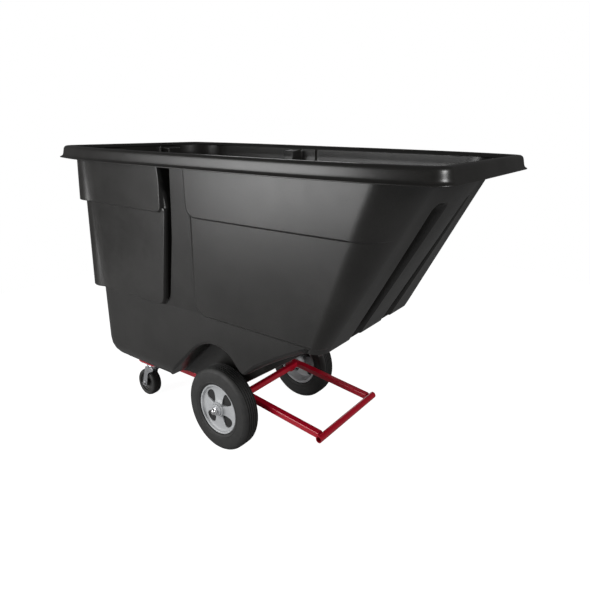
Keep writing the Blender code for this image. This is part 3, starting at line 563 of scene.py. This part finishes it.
def half_columns():
    """(place, position) of the right half's columns, from the rear centre to the front centre.

    A side position is a number along side_lines; the others are metres or a share of the turn."""
    a, b = REAR_CHANNEL
    c, d = FRONT_CHANNEL
    rows = [("rear", s) for s in spread(0, a - 0.008, 0.012) + spread(a - 0.008, a + 0.012, 0.0014)
            + spread(a + 0.012, b - 0.012, 0.006) + spread(b - 0.012, b + 0.006, 0.0014)]
    rows += [("rear_corner", s) for s in spread(0, 1, 1 / 22)]
    for k, gap in enumerate(SIDE_GAPS):
        rows += [("side", k + s) for s in spread(0, 1, gap)]
    rows += [("front_corner", s) for s in spread(0, 1, 1 / 22)]
    outer = [0.165, 0.150, 0.135, 0.124]
    steep = list(np.arange(d + 0.006, d - 0.012, -0.0014)) + list(np.linspace(d - 0.012, c + 0.012, 6))
    steep += list(np.arange(c + 0.0106, c - 0.007, -0.0014)) + list(np.linspace(c - 0.012, 0, 6))
    return rows + [("front", y) for y in outer + steep]


def side_lines(z, inset):
    """x from the rear of the lines that the side's columns follow."""
    start = table(z, WALL_REAR) + inset + max_corner(z, inset)
    end = front_x(z) - REAR - inset * 1.19 - np.maximum(table(z, FRONT_CORNER) - inset, 0.01)
    pad = table(z, PAD_LOW_EDGE)
    channel = table(z, CHANNEL_EDGE)
    panel = table(z, PANEL_LOW_EDGE)
    return np.array([start, pad - 0.030, pad + 0.009, max(channel - 0.012, pad + 0.011), channel + 0.010,
                     panel - 0.020, panel + 0.010, end])


def max_corner(z, inset):
    return np.maximum(table(z, REAR_CORNER) - inset, 0.02)


def plan_point(place, s, z, inset, rear_in=0.0, side_in=0.0):
    """Point and outward direction of the plain wall at one height."""
    x0 = table(z, WALL_REAR) + REAR + inset + rear_in
    x1 = front_x(z) - inset * 1.19
    r0 = max(table(z, REAR_CORNER) - inset - (rear_in + side_in) / 2, 0.02)
    r1 = max(table(z, FRONT_CORNER) - inset, 0.01)
    half = table(z, WALL_HALF) - inset - side_in
    if place == "front":
        room = max(half - table(z, BOW) - r1, 0.05)
        swell = 0.5 + 0.5 * math.cos(math.pi * min(s / room, 1.0))
        x1 += FRONT_BULGE * max(z - FRONT_FOOT[1], 0.0) * swell
    return outline_point(place, s, x0, x1, half, r0, r1, table(z, BOW))


def outline_point(place, s, x0, x1, half, r0, r1, bow, power=2):
    """x, y and outward direction on a round-cornered outline whose sides bow (right half)."""
    middle = (x0 + x1) / 2
    reach = (x1 - x0) / 2

    def bowed(x):
        return half - bow * (abs(x - middle) / reach) ** power

    def corner(radius):
        """Distance from the end to where the corner starts, and the side's slope there."""
        slope = 0.0
        for _ in range(4):
            back = radius * (1 - math.sin(slope))
            slope = math.atan(power * bow / reach * (1 - back / reach) ** (power - 1))
        return back, slope

    if place == "front":
        return x1, -s, (1.0, 0.0)
    back0, slope0 = corner(r0)
    back1, slope1 = corner(r1)
    if place == "rear":
        room = bowed(x0 + back0) - r0 * math.cos(slope0)
        return x0, -s * min(1.0, room / REAR_LAND), (-1.0, 0.0)
    if place == "side":
        x = min(max(s, x0 + back0), x1 - back1)
        return x, -bowed(x), (0.0, -1.0)
    if place == "rear_corner":
        edge, slope, radius, way, turn = x0 + back0, slope0, r0, -1, 1 - s
    else:
        edge, slope, radius, way, turn = x1 - back1, slope1, r1, 1, s
    a = slope + (math.pi / 2 - slope) * turn
    out = (way * math.sin(a), -math.cos(a))
    centre = (edge - way * math.sin(slope) * radius, -bowed(edge) + math.cos(slope) * radius)
    return centre[0] + out[0] * radius, centre[1] + out[1] * radius, out


def wall_point(column, z, inset, rear_in=0.0, side_in=0.0):
    """Point of one skin of the wall, with pads, panels and channels."""
    place, s = column
    if place == "side":
        k = min(int(s), LAST_SPAN)
        lines = side_lines(z, inset)
        s = REAR + lines[k] + (lines[k + 1] - lines[k]) * (s - k)
    x, y, out = plan_point(place, s, z, inset, rear_in, side_in)
    if place == "side":
        offset = side_land(x - REAR, z, inset) - side_channel(x - REAR, z, inset)
    elif place == "rear":
        offset = band_land(PAD_REAR, z, inset) - rear_channel(s, z, inset)
    elif place == "rear_corner":
        steps = [r + (q - r) * s ** 3 for r, q in zip(PAD_REAR, PAD_SIDE)]
        offset = band_land(steps, z, inset)
    elif place == "front_corner":
        offset = band_land(PANEL, z, inset) * (1.0 - step(s - 0.45, 0.8))
    else:
        offset = -front_channel(s, z, inset)
    return Vector((x + out[0] * offset, y + out[1] * offset, z)), out


def edge_radius(column, x, inset):
    """Radius of the edge between a column's wall and the underside."""
    place = column[0]
    if place == "front":
        return 0.045 - inset
    if place == "front_corner":
        return 0.026 + 0.019 * float(step(column[1] - 0.35, 0.7)) - inset
    slope = 0.026 * float(step(x - REAR - 0.90, 0.10))
    return max(0.010 - 0.4 * inset, slope - 0.5 * inset, 0.004)


ARC = [math.radians(90 * k / 7) for k in range(8)]


def front_foot(column, start, inset):
    """Rows of a front column: down to the sloping underside and round the edge onto it."""
    stop = start.z
    for _ in range(30):
        point, out = wall_point(column, stop, inset)
        stop = min(start.z, underside(point.x, inset))
    radius = edge_radius(column, point.x, inset)
    corner = Vector((point.x, point.y, stop))
    upper, _ = wall_point(column, stop + radius, inset)
    inward = Vector((-out[0], -out[1], -UNDER_RISE * out[0])).normalized()
    rows = []
    for k in range(1, FOOT_ROWS + 1):
        z = start.z + (upper.z - start.z) * k / FOOT_ROWS
        rows.append(wall_point(column, z, inset)[0] if upper.z < start.z else
                    start.lerp(upper, k / FOOT_ROWS))
    return rows, corner, upper, corner + inward * radius


def side_foot(column, start, inset):
    """Rows of a side or rear column: down the wall, round the foot and onto the underside."""
    place, s = column
    floor_z = FLOOR_Z + inset
    share = {"rear": 0.0, "side": 1.0}.get(place, s)
    radius = REAR_FOOT_R + (SIDE_FOOT_R - REAR_FOOT_R) * share - inset
    edge = floor_z
    if place == "side":
        edge = max(arch_z(start.x, inset), underside(start.x, inset))
    stop = max(edge, floor_z + radius)
    small = edge_radius(column, start.x, inset) if place == "side" else 0.0
    last = math.asin(min(max(1 - (edge + small - floor_z) / radius, 0.0), 1.0))
    rows = []
    foot = max(stop, edge + small)
    straight = FOOT_ROWS - BEND_ROWS
    for k in range(1, straight + 1):
        z = start.z + (foot - start.z) * k / straight
        rows.append(wall_point(column, z, inset)[0])
    for k in range(1, BEND_ROWS + 1):
        a = last * k / BEND_ROWS
        bend = 1 - math.cos(a)
        point, _ = wall_point(column, stop, inset, (REAR_FOOT_R - inset) * bend,
                              (SIDE_FOOT_R - inset) * bend)
        rows.append(Vector((point.x, point.y, foot - radius * math.sin(a))))
    upper = rows[-1]
    if place != "side":
        return rows, upper, upper, upper
    corner = Vector((upper.x, upper.y + small * 0.15, edge))
    return rows, corner, upper, corner + Vector((0, small, 0))


def foot_rows(column, start, inset):
    """Points of one column below the levels, ending on the underside."""
    make = front_foot if column[0].startswith("front") else side_foot
    rows, corner, upper, inner = make(column, start, inset)
    for a in ARC[1:]:
        rows.append(corner + (upper - corner) * (1 - math.sin(a)) + (inner - corner) * (1 - math.cos(a)))
    return rows


def wall_levels():
    """Heights of the wall's rows, close together at the steps and the rounded corners."""
    fine = list(np.arange(STEP_HIGH + 0.0060, STEP_HIGH - 0.0061, -0.0012))
    lower = list(np.arange(STEP_LOW + 0.0060, STEP_LOW - 0.0061, -0.0012))
    levels = [UNDER_Z, 0.9665, 0.965, 0.9635, 0.962, 0.9605, 0.959, 0.9575, 0.956, 0.9545, 0.953, 0.950,
              0.946, 0.942, 0.938, 0.934, 0.928, 0.918, 0.906,
              0.894, 0.884, 0.878, 0.875, 0.872, 0.869, 0.866, 0.863, 0.860, 0.856, 0.851, 0.845,
              0.838, 0.831, 0.825, 0.820, 0.815, 0.811, 0.808, 0.805, 0.802, 0.799]
    levels += fine + [0.781, 0.777, 0.771, 0.762] + list(np.linspace(0.748, 0.530, 16))
    levels += [0.522, 0.514, 0.507, 0.501, 0.496, 0.491, 0.487, 0.483, 0.480]
    return levels + lower + [0.463, 0.459, 0.453]


RIM_PROFILE = ((0.0480, 0.9705), (0.0430, 0.9755), (0.0385, 0.9792), (0.0340, 0.9807), (0.0290, 0.9810),
               (0.0230, 0.9810), (0.0195, 0.9806), (0.0165, 0.9793), (0.0138, 0.9770),
               (0.0120, 0.9738), (0.0110, 0.9700), (0.0101, 0.9640), (0.0092, 0.9570),
               (0.0082, 0.9510), (0.0068, 0.9475), (0.0044, 0.9450), (0.0018, 0.9437),
               (0.0004, 0.9425), (0.0, 0.9410), (0.0006, 0.9398), (0.0024, 0.9395),
               (0.0060, 0.9405), (0.0105, 0.9430), (0.0140, 0.9480), (0.0155, 0.9560),
               (0.0165, 0.9640), (0.0200, 0.9670), (0.0300, 0.9680))


def rim_ring(columns, inset, z):
    """The right half of one ring of the rim, inset from its outline."""
    ring = []
    for place, s in columns:
        if place == "side":
            x_low = REAR + RIM_CORNER
            x_high = REAR + LENGTH - RIM_CORNER
            s = side_share(s) * (x_high - x_low) + x_low
        x, y, _ = outline_point(place, s, REAR + inset, REAR + LENGTH - inset, WIDTH / 2 - inset,
                                RIM_CORNER - inset, RIM_CORNER - inset, RIM_BOW, RIM_POWER)
        ring.append(Vector((x, y, z)))
    return ring


def side_share(s):
    """Where a side column stands along the rim, from 0 at the rear corner to 1 at the front."""
    lines = side_lines(UNDER_Z, 0.0)
    k = min(int(s), LAST_SPAN)
    x = lines[k] + (lines[k + 1] - lines[k]) * (s - k)
    return (x - lines[0]) / (lines[-1] - lines[0])


def full_ring(half):
    """A ring from its right half, from the rear centre to the front centre and back."""
    return half + [Vector((p.x, -p.y, p.z)) for p in reversed(half[1:-1])]


def section_to_middle(edge, x, inset):
    """Points of the underside from a side column's edge to the middle plane."""
    well = WELL_Y - inset
    low = underside(x, inset)
    high = edge.z
    lean = 0.004
    turn = min(0.008, (high - low) / 2)
    points = []
    for share in (0.25, 0.5, 0.75):
        y = edge.y + (-well - 0.012 - edge.y) * share
        points.append((x, y, high))
    points += [(x, -well - 0.010, high), (x, -well - 0.005, high - turn * 0.15),
               (x, -well - 0.0015, high - turn * 0.6), (x, -well, high - turn),
               (x, -well + lean * 0.5, (high + low) / 2), (x, -well + lean, low + turn),
               (x, -well + lean + 0.0015, low + turn * 0.6),
               (x, -well + lean + 0.005, low + turn * 0.15), (x, -well + lean + 0.010, low)]
    points += [(x, -0.100, low), (x, -0.050, low), (x, 0.0, low)]
    return [Vector(p) for p in points]


def close_foot(bm, ring, columns, inset):
    """Fill the underside inside the last ring of a skin."""
    count = len(ring)
    sides = [i for i, c in enumerate(columns) if c[0] == "side"]
    strips = []
    for i in sides:
        half = section_to_middle(ring[i].co, ring[i].co.x, inset)
        right = [bm.verts.new(p) for p in half]
        left = [bm.verts.new((p.x, -p.y, p.z)) for p in reversed(half[:-1])]
        strips.append([ring[i]] + right + left + [ring[(count - i) % count]])
    grid_faces(bm, strips, False)
    first, last = strips[0], strips[-1]
    rear_loop = [ring[i] for i in range(sides[0], -1, -1)]
    rear_loop += [ring[count - i] for i in range(1, sides[0] + 1)]
    bm.faces.new(rear_loop + first[-2:0:-1])
    front_loop = [ring[i] for i in range(sides[-1], count - sides[-1] + 1)]
    bm.faces.new(front_loop + last[-2:0:-1])


def skin(columns, inset):
    """Rings of one skin of the tub, from under the rim to where its underside starts."""
    rings = [[wall_point(c, z, inset)[0] for c in columns] for z in wall_levels()]
    feet = [foot_rows(c, start, inset) for c, start in zip(columns, rings[-1])]
    return rings + [[rows[k] for rows in feet] for k in range(len(feet[0]))]


def build_tub():
    columns = half_columns()
    outer = skin(columns, 0.0)
    inner = skin(columns, WALL)
    rim = [rim_ring(columns, inset, z) for inset, z in RIM_PROFILE]
    bm = bmesh.new()
    rings = list(reversed(inner)) + rim + outer
    rows = [[bm.verts.new(p) for p in full_ring(ring)] for ring in rings]
    grid_faces(bm, rows)
    close_foot(bm, rows[-1], columns, 0.0)
    close_foot(bm, rows[0], columns, WALL)
    bmesh.ops.remove_doubles(bm, verts=bm.verts, dist=2e-5)
    bmesh.ops.recalc_face_normals(bm, faces=bm.faces)
    tub = new_object("tub_shell", bm, 60)
    finish_piece(tub, TUB_BLACK, "root", "tub_plastic", "tub")


build_tub()


# ---- frame ---------------------------------------------------------------------------------
TUBE = CROSS_HIGH.z - CROSS_LOW.z
RAIL_Y = (RAIL_LOW.y + RAIL_HIGH.y) / 2
RAIL_Z = (CROSS_HIGH.z + CROSS_LOW.z) / 2
BEND_X = REAR + 0.745           # the rails slope down from here to the stop tube
TUBE_WALL = 0.0016
STOP = (STOP_LOW + STOP_HIGH) / 2
STOP_R = (STOP_HIGH.z - STOP_LOW.z) / 2


def square_tube(name, path, across):
    """Hollow square tube swept along a path, with its ends open."""
    bm = bmesh.new()
    across = Vector(across)
    points = [Vector(p) for p in path]
    outer = rounded_rect(TUBE / 2, TUBE / 2, 0.0028)
    inner = rounded_rect(TUBE / 2 - TUBE_WALL, TUBE / 2 - TUBE_WALL, 0.0014)
    stacks = []
    for outline in (outer, inner):
        stack = []
        for i, point in enumerate(points):
            before = (point - points[i - 1]).normalized() if i else None
            after = (points[i + 1] - point).normalized() if i + 1 < len(points) else None
            along = ((before or after) + (after or before)).normalized()
            up = along.cross(across)
            stack.append([bm.verts.new(point + across * u + up * v) for u, v in outline])
        stacks.append(stack)
    grid_faces(bm, stacks[0] + stacks[1][::-1], True, True)
    bmesh.ops.recalc_face_normals(bm, faces=bm.faces)
    return new_object(name, bm, 40)


def rail_path(y):
    """Level under the tub, then down to the stop tube round a soft bend."""
    slope = (STOP.z - RAIL_Z) / (STOP.x - BEND_X)
    end_x = STOP.x - STOP_R - 0.0012
    points = [Vector((RAIL_LOW.x, y, RAIL_Z))]
    reach = 0.035
    for k in range(9):
        t = k / 8
        start = Vector((BEND_X - reach, y, RAIL_Z))
        middle = Vector((BEND_X, y, RAIL_Z))
        end = Vector((BEND_X + reach, y, RAIL_Z + slope * reach))
        points.append(start * (1 - t) ** 2 + middle * 2 * t * (1 - t) + end * t ** 2)
    points.append(Vector((end_x, y, RAIL_Z + slope * (end_x - BEND_X))))
    return points


def weld_bead(name, outline_points, radius):
    """A lumpy closed bead of weld along a loop of points."""
    bm = bmesh.new()
    dense = []
    count = len(outline_points)
    for i in range(count):
        a, b = outline_points[i], outline_points[(i + 1) % count]
        steps = max(1, int((b - a).length / 0.0015))
        dense += [a.lerp(b, k / steps) for k in range(steps)]
    rows = []
    n = len(dense)
    for i, point in enumerate(dense):
        along = (dense[(i + 1) % n] - dense[i - 1]).normalized()
        side = along.orthogonal().normalized()
        up = along.cross(side)
        r = radius * (1 + 0.16 * math.sin(i * 1.9))
        rows.append([bm.verts.new(point + side * (r * math.cos(a)) + up * (r * math.sin(a)))
                     for a in (math.tau * k / 8 for k in range(8))])
    grid_faces(bm, rows, True, True)
    bmesh.ops.recalc_face_normals(bm, faces=bm.faces)
    return finish_piece(new_object(name, bm, 180), RED, "root", "frame_paint")


def build_frame():
    for word, side in (("left", 1), ("right", -1)):
        y = side * RAIL_Y
        rail = square_tube(f"{word}_rail_tube", rail_path(y), (0, 1, 0))
        finish_piece(rail, RED, "root", "frame_paint", f"{word}_frame_rail")
        end_x = STOP.x - STOP_R * 0.93
        end_z = STOP.z + 0.0015
        loop = [Vector((end_x, y + u, end_z + v))
                for u, v in rounded_rect(TUBE / 2, STOP_R * 0.42, 0.003)]
        weld_bead(f"{word}_stop_weld", loop, 0.0019)
        face_y = y - side * TUBE / 2
        middle = (CROSS_LOW.x + CROSS_HIGH.x) / 2
        loop = [Vector((middle + u, face_y, RAIL_Z + v))
                for u, v in rounded_rect(TUBE / 2, TUBE / 2 - 0.001, 0.003)]
        weld_bead(f"{word}_cross_weld", loop, 0.0016)
        soften(use_node(f"{word}_axle_bracket", RED), 0.0012)
    half = CROSS_HIGH.y
    middle = (CROSS_LOW.x + CROSS_HIGH.x) / 2
    cross = square_tube("cross_tube", [(middle, -half, RAIL_Z), (middle, half, RAIL_Z)], (1, 0, 0))
    finish_piece(cross, RED, "root", "frame_paint", "axle_cross_tube")
    half = STOP_HIGH.y
    edge = 0.0005
    profile = [(STOP_R - TUBE_WALL, -half), (STOP_R - edge, -half), (STOP_R, -half + edge),
               (STOP_R, half - edge), (STOP_R - edge, half), (STOP_R - TUBE_WALL, half)]
    stop = lathe("stop_tube", profile, (STOP.x, 0, STOP.z), 48)
    finish_piece(stop, RED, "root", "frame_paint", "front_stop_tube")
    use_node("caster_cross_plate", RED, 0.0006)


build_frame()


# ---- main wheels ---------------------------------------------------------------------------
WHEEL_R = (TYRE_HIGH.z - TYRE_LOW.z) / 2
WHEEL_Y = (TYRE_LOW.y + TYRE_HIGH.y) / 2
TYRE_HALF = (TYRE_HIGH.y - TYRE_LOW.y) / 2
HUB_R = 0.0842
BOSS_R = 0.021
BOSS_HALF = 0.032
AXLE_R = 0.008
BUSH_R = 0.0135
GROOVE_PITCH = 0.0078
GROOVE_DEPTH = 0.0033
GROOVE_HALF = 0.0018
WINDOW = (0.0472, 0.0230)       # the hub's windows: middle radius and reach
WINDOW_HALF = (0.0162, 0.0108)  # half width at the middle, and its change over the reach
PAINTED_SHADE_FACE = 0.0128            # painted shade: the dark plate behind the windows, standing in for the shadow inside the hub, from the wheel's middle


def tyre_profile():
    """Round-shouldered solid tyre with circumferential grooves in its tread."""
    half = TYRE_HALF
    wall_side = [(HUB_R + 0.0004, half - 0.0075), (HUB_R + 0.0015, half - 0.0035),
                 (HUB_R + 0.0045, half - 0.0016), (0.0935, half - 0.0008), (0.0945, half - 0.0014),
                 (0.0960, half - 0.0014), (0.0970, half - 0.0006), (0.106, half - 0.0001),
                 (0.117, half), (0.1245, half - 0.0006), (0.1255, half - 0.0014),
                 (0.1270, half - 0.0014), (0.1280, half - 0.0018), (0.1320, half - 0.0036),
                 (0.1355, half - 0.0060), (0.1378, half - 0.0088), (0.1390, half - 0.0112)]
    tread = []
    slant = GROOVE_HALF - 0.0006
    for k in range(2, -3, -1):
        middle = GROOVE_PITCH * k
        crown = WHEEL_R - 0.0006 * (middle / 0.016) ** 2
        shoulder = crown - GROOVE_DEPTH + 0.0005
        tread += [(crown, middle + GROOVE_HALF), (shoulder, middle + slant),
                  (crown - GROOVE_DEPTH, middle), (shoulder, middle - slant),
                  (crown, middle - GROOVE_HALF)]
    return wall_side + tread + [(r, -h) for r, h in reversed(wall_side)]


def hub_profile():
    """Dished wheel centre: raised outer ring, web, boss and bush seat."""
    ring = TYRE_HALF - 0.0050
    outer = [(HUB_R, ring - 0.004), (HUB_R - 0.0006, ring - 0.0012), (HUB_R - 0.002, ring),
             (HUB_R - 0.0045, ring - 0.0002), (HUB_R - 0.0062, ring - 0.0014),
             (HUB_R - 0.0072, ring - 0.0042), (HUB_R - 0.0085, ring - 0.0062),
             (HUB_R - 0.0115, ring - 0.0078), (0.064, ring - 0.0088), (0.052, ring - 0.0088),
             (0.040, ring - 0.0078), (0.031, ring - 0.0062), (BOSS_R + 0.006, ring - 0.0044),
             (BOSS_R + 0.0042, ring - 0.0028), (BOSS_R + 0.0034, ring + 0.0010),
             (BOSS_R + 0.0026, ring + 0.0022), (BOSS_R + 0.0010, ring + 0.0026),
             (BOSS_R - 0.0006, ring + 0.0018), (BOSS_R - 0.0014, ring + 0.0010),
             (BOSS_R - 0.0018, BOSS_HALF - 0.002), (BOSS_R - 0.0026, BOSS_HALF - 0.0006),
             (BOSS_R - 0.0036, BOSS_HALF), (BUSH_R + 0.0009, BOSS_HALF),
             (BUSH_R + 0.0003, BOSS_HALF - 0.0006), (BUSH_R + 0.0003, 0.0195), (AXLE_R + 0.0006, 0.0195)]
    inner = [(AXLE_R + 0.0006, -0.0195), (BUSH_R + 0.0003, -0.0195), (BUSH_R + 0.0003, -BOSS_HALF),
             (BOSS_R - 0.001, -BOSS_HALF), (BOSS_R, -BOSS_HALF + 0.001), (BOSS_R + 0.003, 0.004),
             (0.030, 0.0072), (0.060, 0.0066), (0.068, 0.005), (0.0735, -0.004), (0.0755, -ring + 0.001),
             (0.0765, -ring), (HUB_R - 0.001, -ring), (HUB_R, -ring + 0.001)]
    return outer + inner


def window_outline(middle):
    """Petal window: broad and round at the rim, narrow at the boss."""
    points = []
    for k in range(48):
        t = 2 * math.pi * k / 48
        reach = math.copysign(abs(math.cos(t)) ** 0.72, math.cos(t))
        swing = math.copysign(abs(math.sin(t)) ** 0.80, math.sin(t))
        radius = WINDOW[0] + WINDOW[1] * reach
        half_width = WINDOW_HALF[0] + WINDOW_HALF[1] * reach
        angle = middle + swing * half_width / radius
        points.append((radius * math.cos(angle), radius * math.sin(angle)))
    return points


def build_wheel(word, side):
    """Tyre, hub with windows, a dark plate of painted shade behind the windows, and the axle's cap and
    sleeves.
    """
    centre = (WHEEL.x, side * WHEEL_Y, WHEEL.z)
    body = f"{word}_wheel"
    tyre = lathe(f"{word}_tyre", [(r, side * h) for r, h in tyre_profile()], centre, 128, 32)
    finish_piece(tyre, RUBBER, body, "rubber", f"{word}_wheel_tyre")
    hub = lathe(f"{word}_hub", [(r, side * h) for r, h in hub_profile()], centre, 128, 35)
    cutters = []
    for k in range(4):
        place = frame_at((centre[0], centre[1] - 0.06, centre[2]), (1, 0, 0), (0, 1, 0))
        cutter = prism(f"{word}_window_{k}", window_outline(math.radians(45 + 90 * k)), 0.12, place)
        cut = hub.modifiers.new(cutter.name, "BOOLEAN")
        cut.operation = "DIFFERENCE"
        cut.solver = "EXACT"
        cut.object = cutter
        cutters.append(cutter)
    graph = bpy.context.evaluated_depsgraph_get()
    mesh = bpy.data.meshes.new_from_object(hub.evaluated_get(graph))
    hub.modifiers.clear()
    hub.data = mesh
    for cutter in cutters:
        bpy.data.objects.remove(cutter, do_unlink=True)
    mesh.set_sharp_from_angle(angle=math.radians(35))
    finish_piece(hub, HUB_GREY, body, "hub_plastic", f"{word}_wheel_hub")
    # painted shade: a thin near-black disc inside the hub, so that the windows look shaded
    near, far = BOSS_R + 0.001, 0.070
    deep = PAINTED_SHADE_FACE - 0.001
    back = [(near, deep), (far, deep), (far, PAINTED_SHADE_FACE), (near, PAINTED_SHADE_FACE)]
    shade = lathe(f"{word}_hub_painted_shade", [(r, side * h) for r, h in back], centre, 64)
    finish_piece(shade, PAINTED_SHADE_BLACK, body, "hub_plastic", f"{word}_wheel_hub")
    out_low, out_high = abs(CAP_LOW.y), abs(CAP_HIGH.y)
    depth = out_high - out_low
    cap = [(0.0, depth), (0.0040, depth), (0.0062, depth - 0.0006), (0.0082, depth - 0.0022),
           (0.0092, depth - 0.0045), (0.0096, 0.0042), (0.0104, 0.0034), (0.0113, 0.0030),
           (0.0115, 0.0022), (0.0115, 0.0006), (0.0109, 0.0), (AXLE_R + 0.0004, 0.0),
           (AXLE_R + 0.0004, depth - 0.004), (0.0, depth - 0.0035)]
    seat = (WHEEL.x, side * out_low, WHEEL.z)
    made = lathe(f"{word}_cap", [(r, side * h) for r, h in cap], seat, 48)
    finish_piece(made, BRIGHT, "root", "zinc", f"{word}_axle_cap")
    for name, mat in (("inner_bush", ZINC), ("outer_bush", DARK_STEEL)):
        use_node(f"{word}_wheel_{name}", mat)
    use_node(f"{word}_axle_washer", ZINC)
    use_node(f"{word}_axle_spacer", ZINC)


use_node("axle", ZINC, 0.0008)


# ---- casters -------------------------------------------------------------------------------
CASTER_R = (TREAD_HIGH.z - TREAD_LOW.z) / 2
CASTER_HALF = (TREAD_HIGH.y - TREAD_LOW.y) / 2
CORE_R = 0.034
TRAIL = SWIVEL.x - CASTER_WHEEL.x
CROWN_TOP = FORK_HIGH.z
FORK_T = 0.003
FORK_HALF = (FORK_HIGH.y - FORK_LOW.y) / 2 - FORK_T
EYE = 0.012


def build_caster_wheel(word, side):
    centre = (CASTER_WHEEL.x, side * CASTER_WHEEL.y, CASTER_WHEEL.z)
    body = f"{word}_caster_wheel"
    half = CASTER_HALF
    rim = [(CORE_R + 0.0004, half - 0.0045), (CORE_R + 0.001, half - 0.002),
           (CORE_R + 0.003, half - 0.0006), (0.044, half), (0.0475, half - 0.0012),
           (0.0500, half - 0.0038), (0.0514, half - 0.0075), (CASTER_R, half - 0.0115)]
    profile = rim + [(r, -h) for r, h in reversed(rim)]
    tread = lathe(f"{word}_tread", profile, centre, 72)
    finish_piece(tread, RUBBER, body, "rubber", f"{word}_caster_tread")
    face = [(0.0088, 0.0175), (0.0124, 0.0175), (0.0131, 0.0168), (0.0136, 0.0085), (0.0150, 0.0068),
            (0.0250, 0.0064), (0.0275, 0.0078), (0.0290, 0.0116), (0.0300, 0.0124), (0.0325, 0.0126),
            (CORE_R, 0.0118)]
    profile = [(r, -h) for r, h in face] + face[::-1]
    core = lathe(f"{word}_core", profile, centre, 72)
    finish_piece(core, CORE_BLACK, body, "caster_plastic", f"{word}_caster_core")
    use_node(f"{word}_caster_bush", ZINC)


def leg_outline():
    """Fork leg from the side: a broad crown running back and down to a round eye."""
    points = [(0.022, CROWN_TOP), (-0.022, CROWN_TOP), (-0.0262, CROWN_TOP - 0.004),
              (-0.0285, CROWN_TOP - 0.012)]
    for k in range(0, 13):
        a = math.radians(172 + 184 * k / 12)
        points.append((EYE * math.cos(a) - TRAIL, CASTER_WHEEL.z + EYE * math.sin(a)))
    points += [(-TRAIL + EYE + 0.0025, CASTER_WHEEL.z + 0.010), (-0.012, CROWN_TOP - 0.030),
               (-0.002, CROWN_TOP - 0.022), (0.010, CROWN_TOP - 0.0165), (0.019, CROWN_TOP - 0.012),
               (0.0225, CROWN_TOP - 0.007)]
    return points


def build_fork(word, side):
    x, y = SWIVEL.x, side * SWIVEL.y
    body = f"{word}_caster_swivel"
    for number, inner in enumerate((FORK_HALF, -FORK_HALF - FORK_T)):
        place = frame_at((x, y + inner + FORK_T, 0), (1, 0, 0), (0, -1, 0))
        leg = prism(f"{word}_fork_leg_{number + 1}", leg_outline(), FORK_T, place)
        soften(leg, 0.0007)
        finish_piece(leg, ZINC, body, "zinc")
    crown = [(0.0055, CROWN_TOP - 0.0030), (0.0215, CROWN_TOP - 0.0030), (0.0230, CROWN_TOP - 0.0022),
             (0.0235, CROWN_TOP - 0.0004), (0.0225, CROWN_TOP), (0.0055, CROWN_TOP)]
    disc = lathe(f"{word}_fork_crown", crown, (x, y, 0), 48, 35, "Z")
    finish_piece(disc, ZINC, body, "zinc")
    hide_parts(f"{word}_caster_fork")
    race_low, race_high = (Vector(corner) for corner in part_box(f"{word}_caster_race"))
    low, high = race_low.z, race_high.z
    outer = (race_high.x - race_low.x) / 2
    bore = 0.0054
    race = [(bore, low), (outer - 0.0070, low), (outer - 0.0040, low + 0.0008),
            (outer - 0.0012, low + 0.003), (outer, low + 0.0062), (outer, low + 0.0082),
            (outer - 0.0006, low + 0.0096), (outer - 0.0022, low + 0.0102),
            (outer - 0.0026, low + 0.0118), (outer - 0.0040, high - 0.0012),
            (outer - 0.0056, high), (bore, high)]
    made = lathe(f"{word}_race", race, (x, y, 0), 64, 35, "Z")
    finish_piece(made, ZINC, "root", "zinc", f"{word}_caster_race")
    use_node(f"{word}_caster_kingpin", ZINC)
    use_node(f"{word}_caster_plate", ZINC, 0.0006)
    use_node(f"{word}_caster_axle", BRIGHT, 0.0005)
    use_node(f"{word}_caster_nut", BRIGHT, 0.0005)
    for k in range(4):
        use_node(f"{word}_caster_bolt_{k + 1}", ZINC, 0.0004)


for word, side in (("left", 1), ("right", -1)):
    build_wheel(word, side)
    build_caster_wheel(word, side)
    build_fork(word, side)
    for place in ("front", "rear"):
        use_node(f"{word}_{place}_tub_bolt", ZINC, 0.0004)
        use_node(f"{word}_{place}_tub_nut", ZINC, 0.0004)
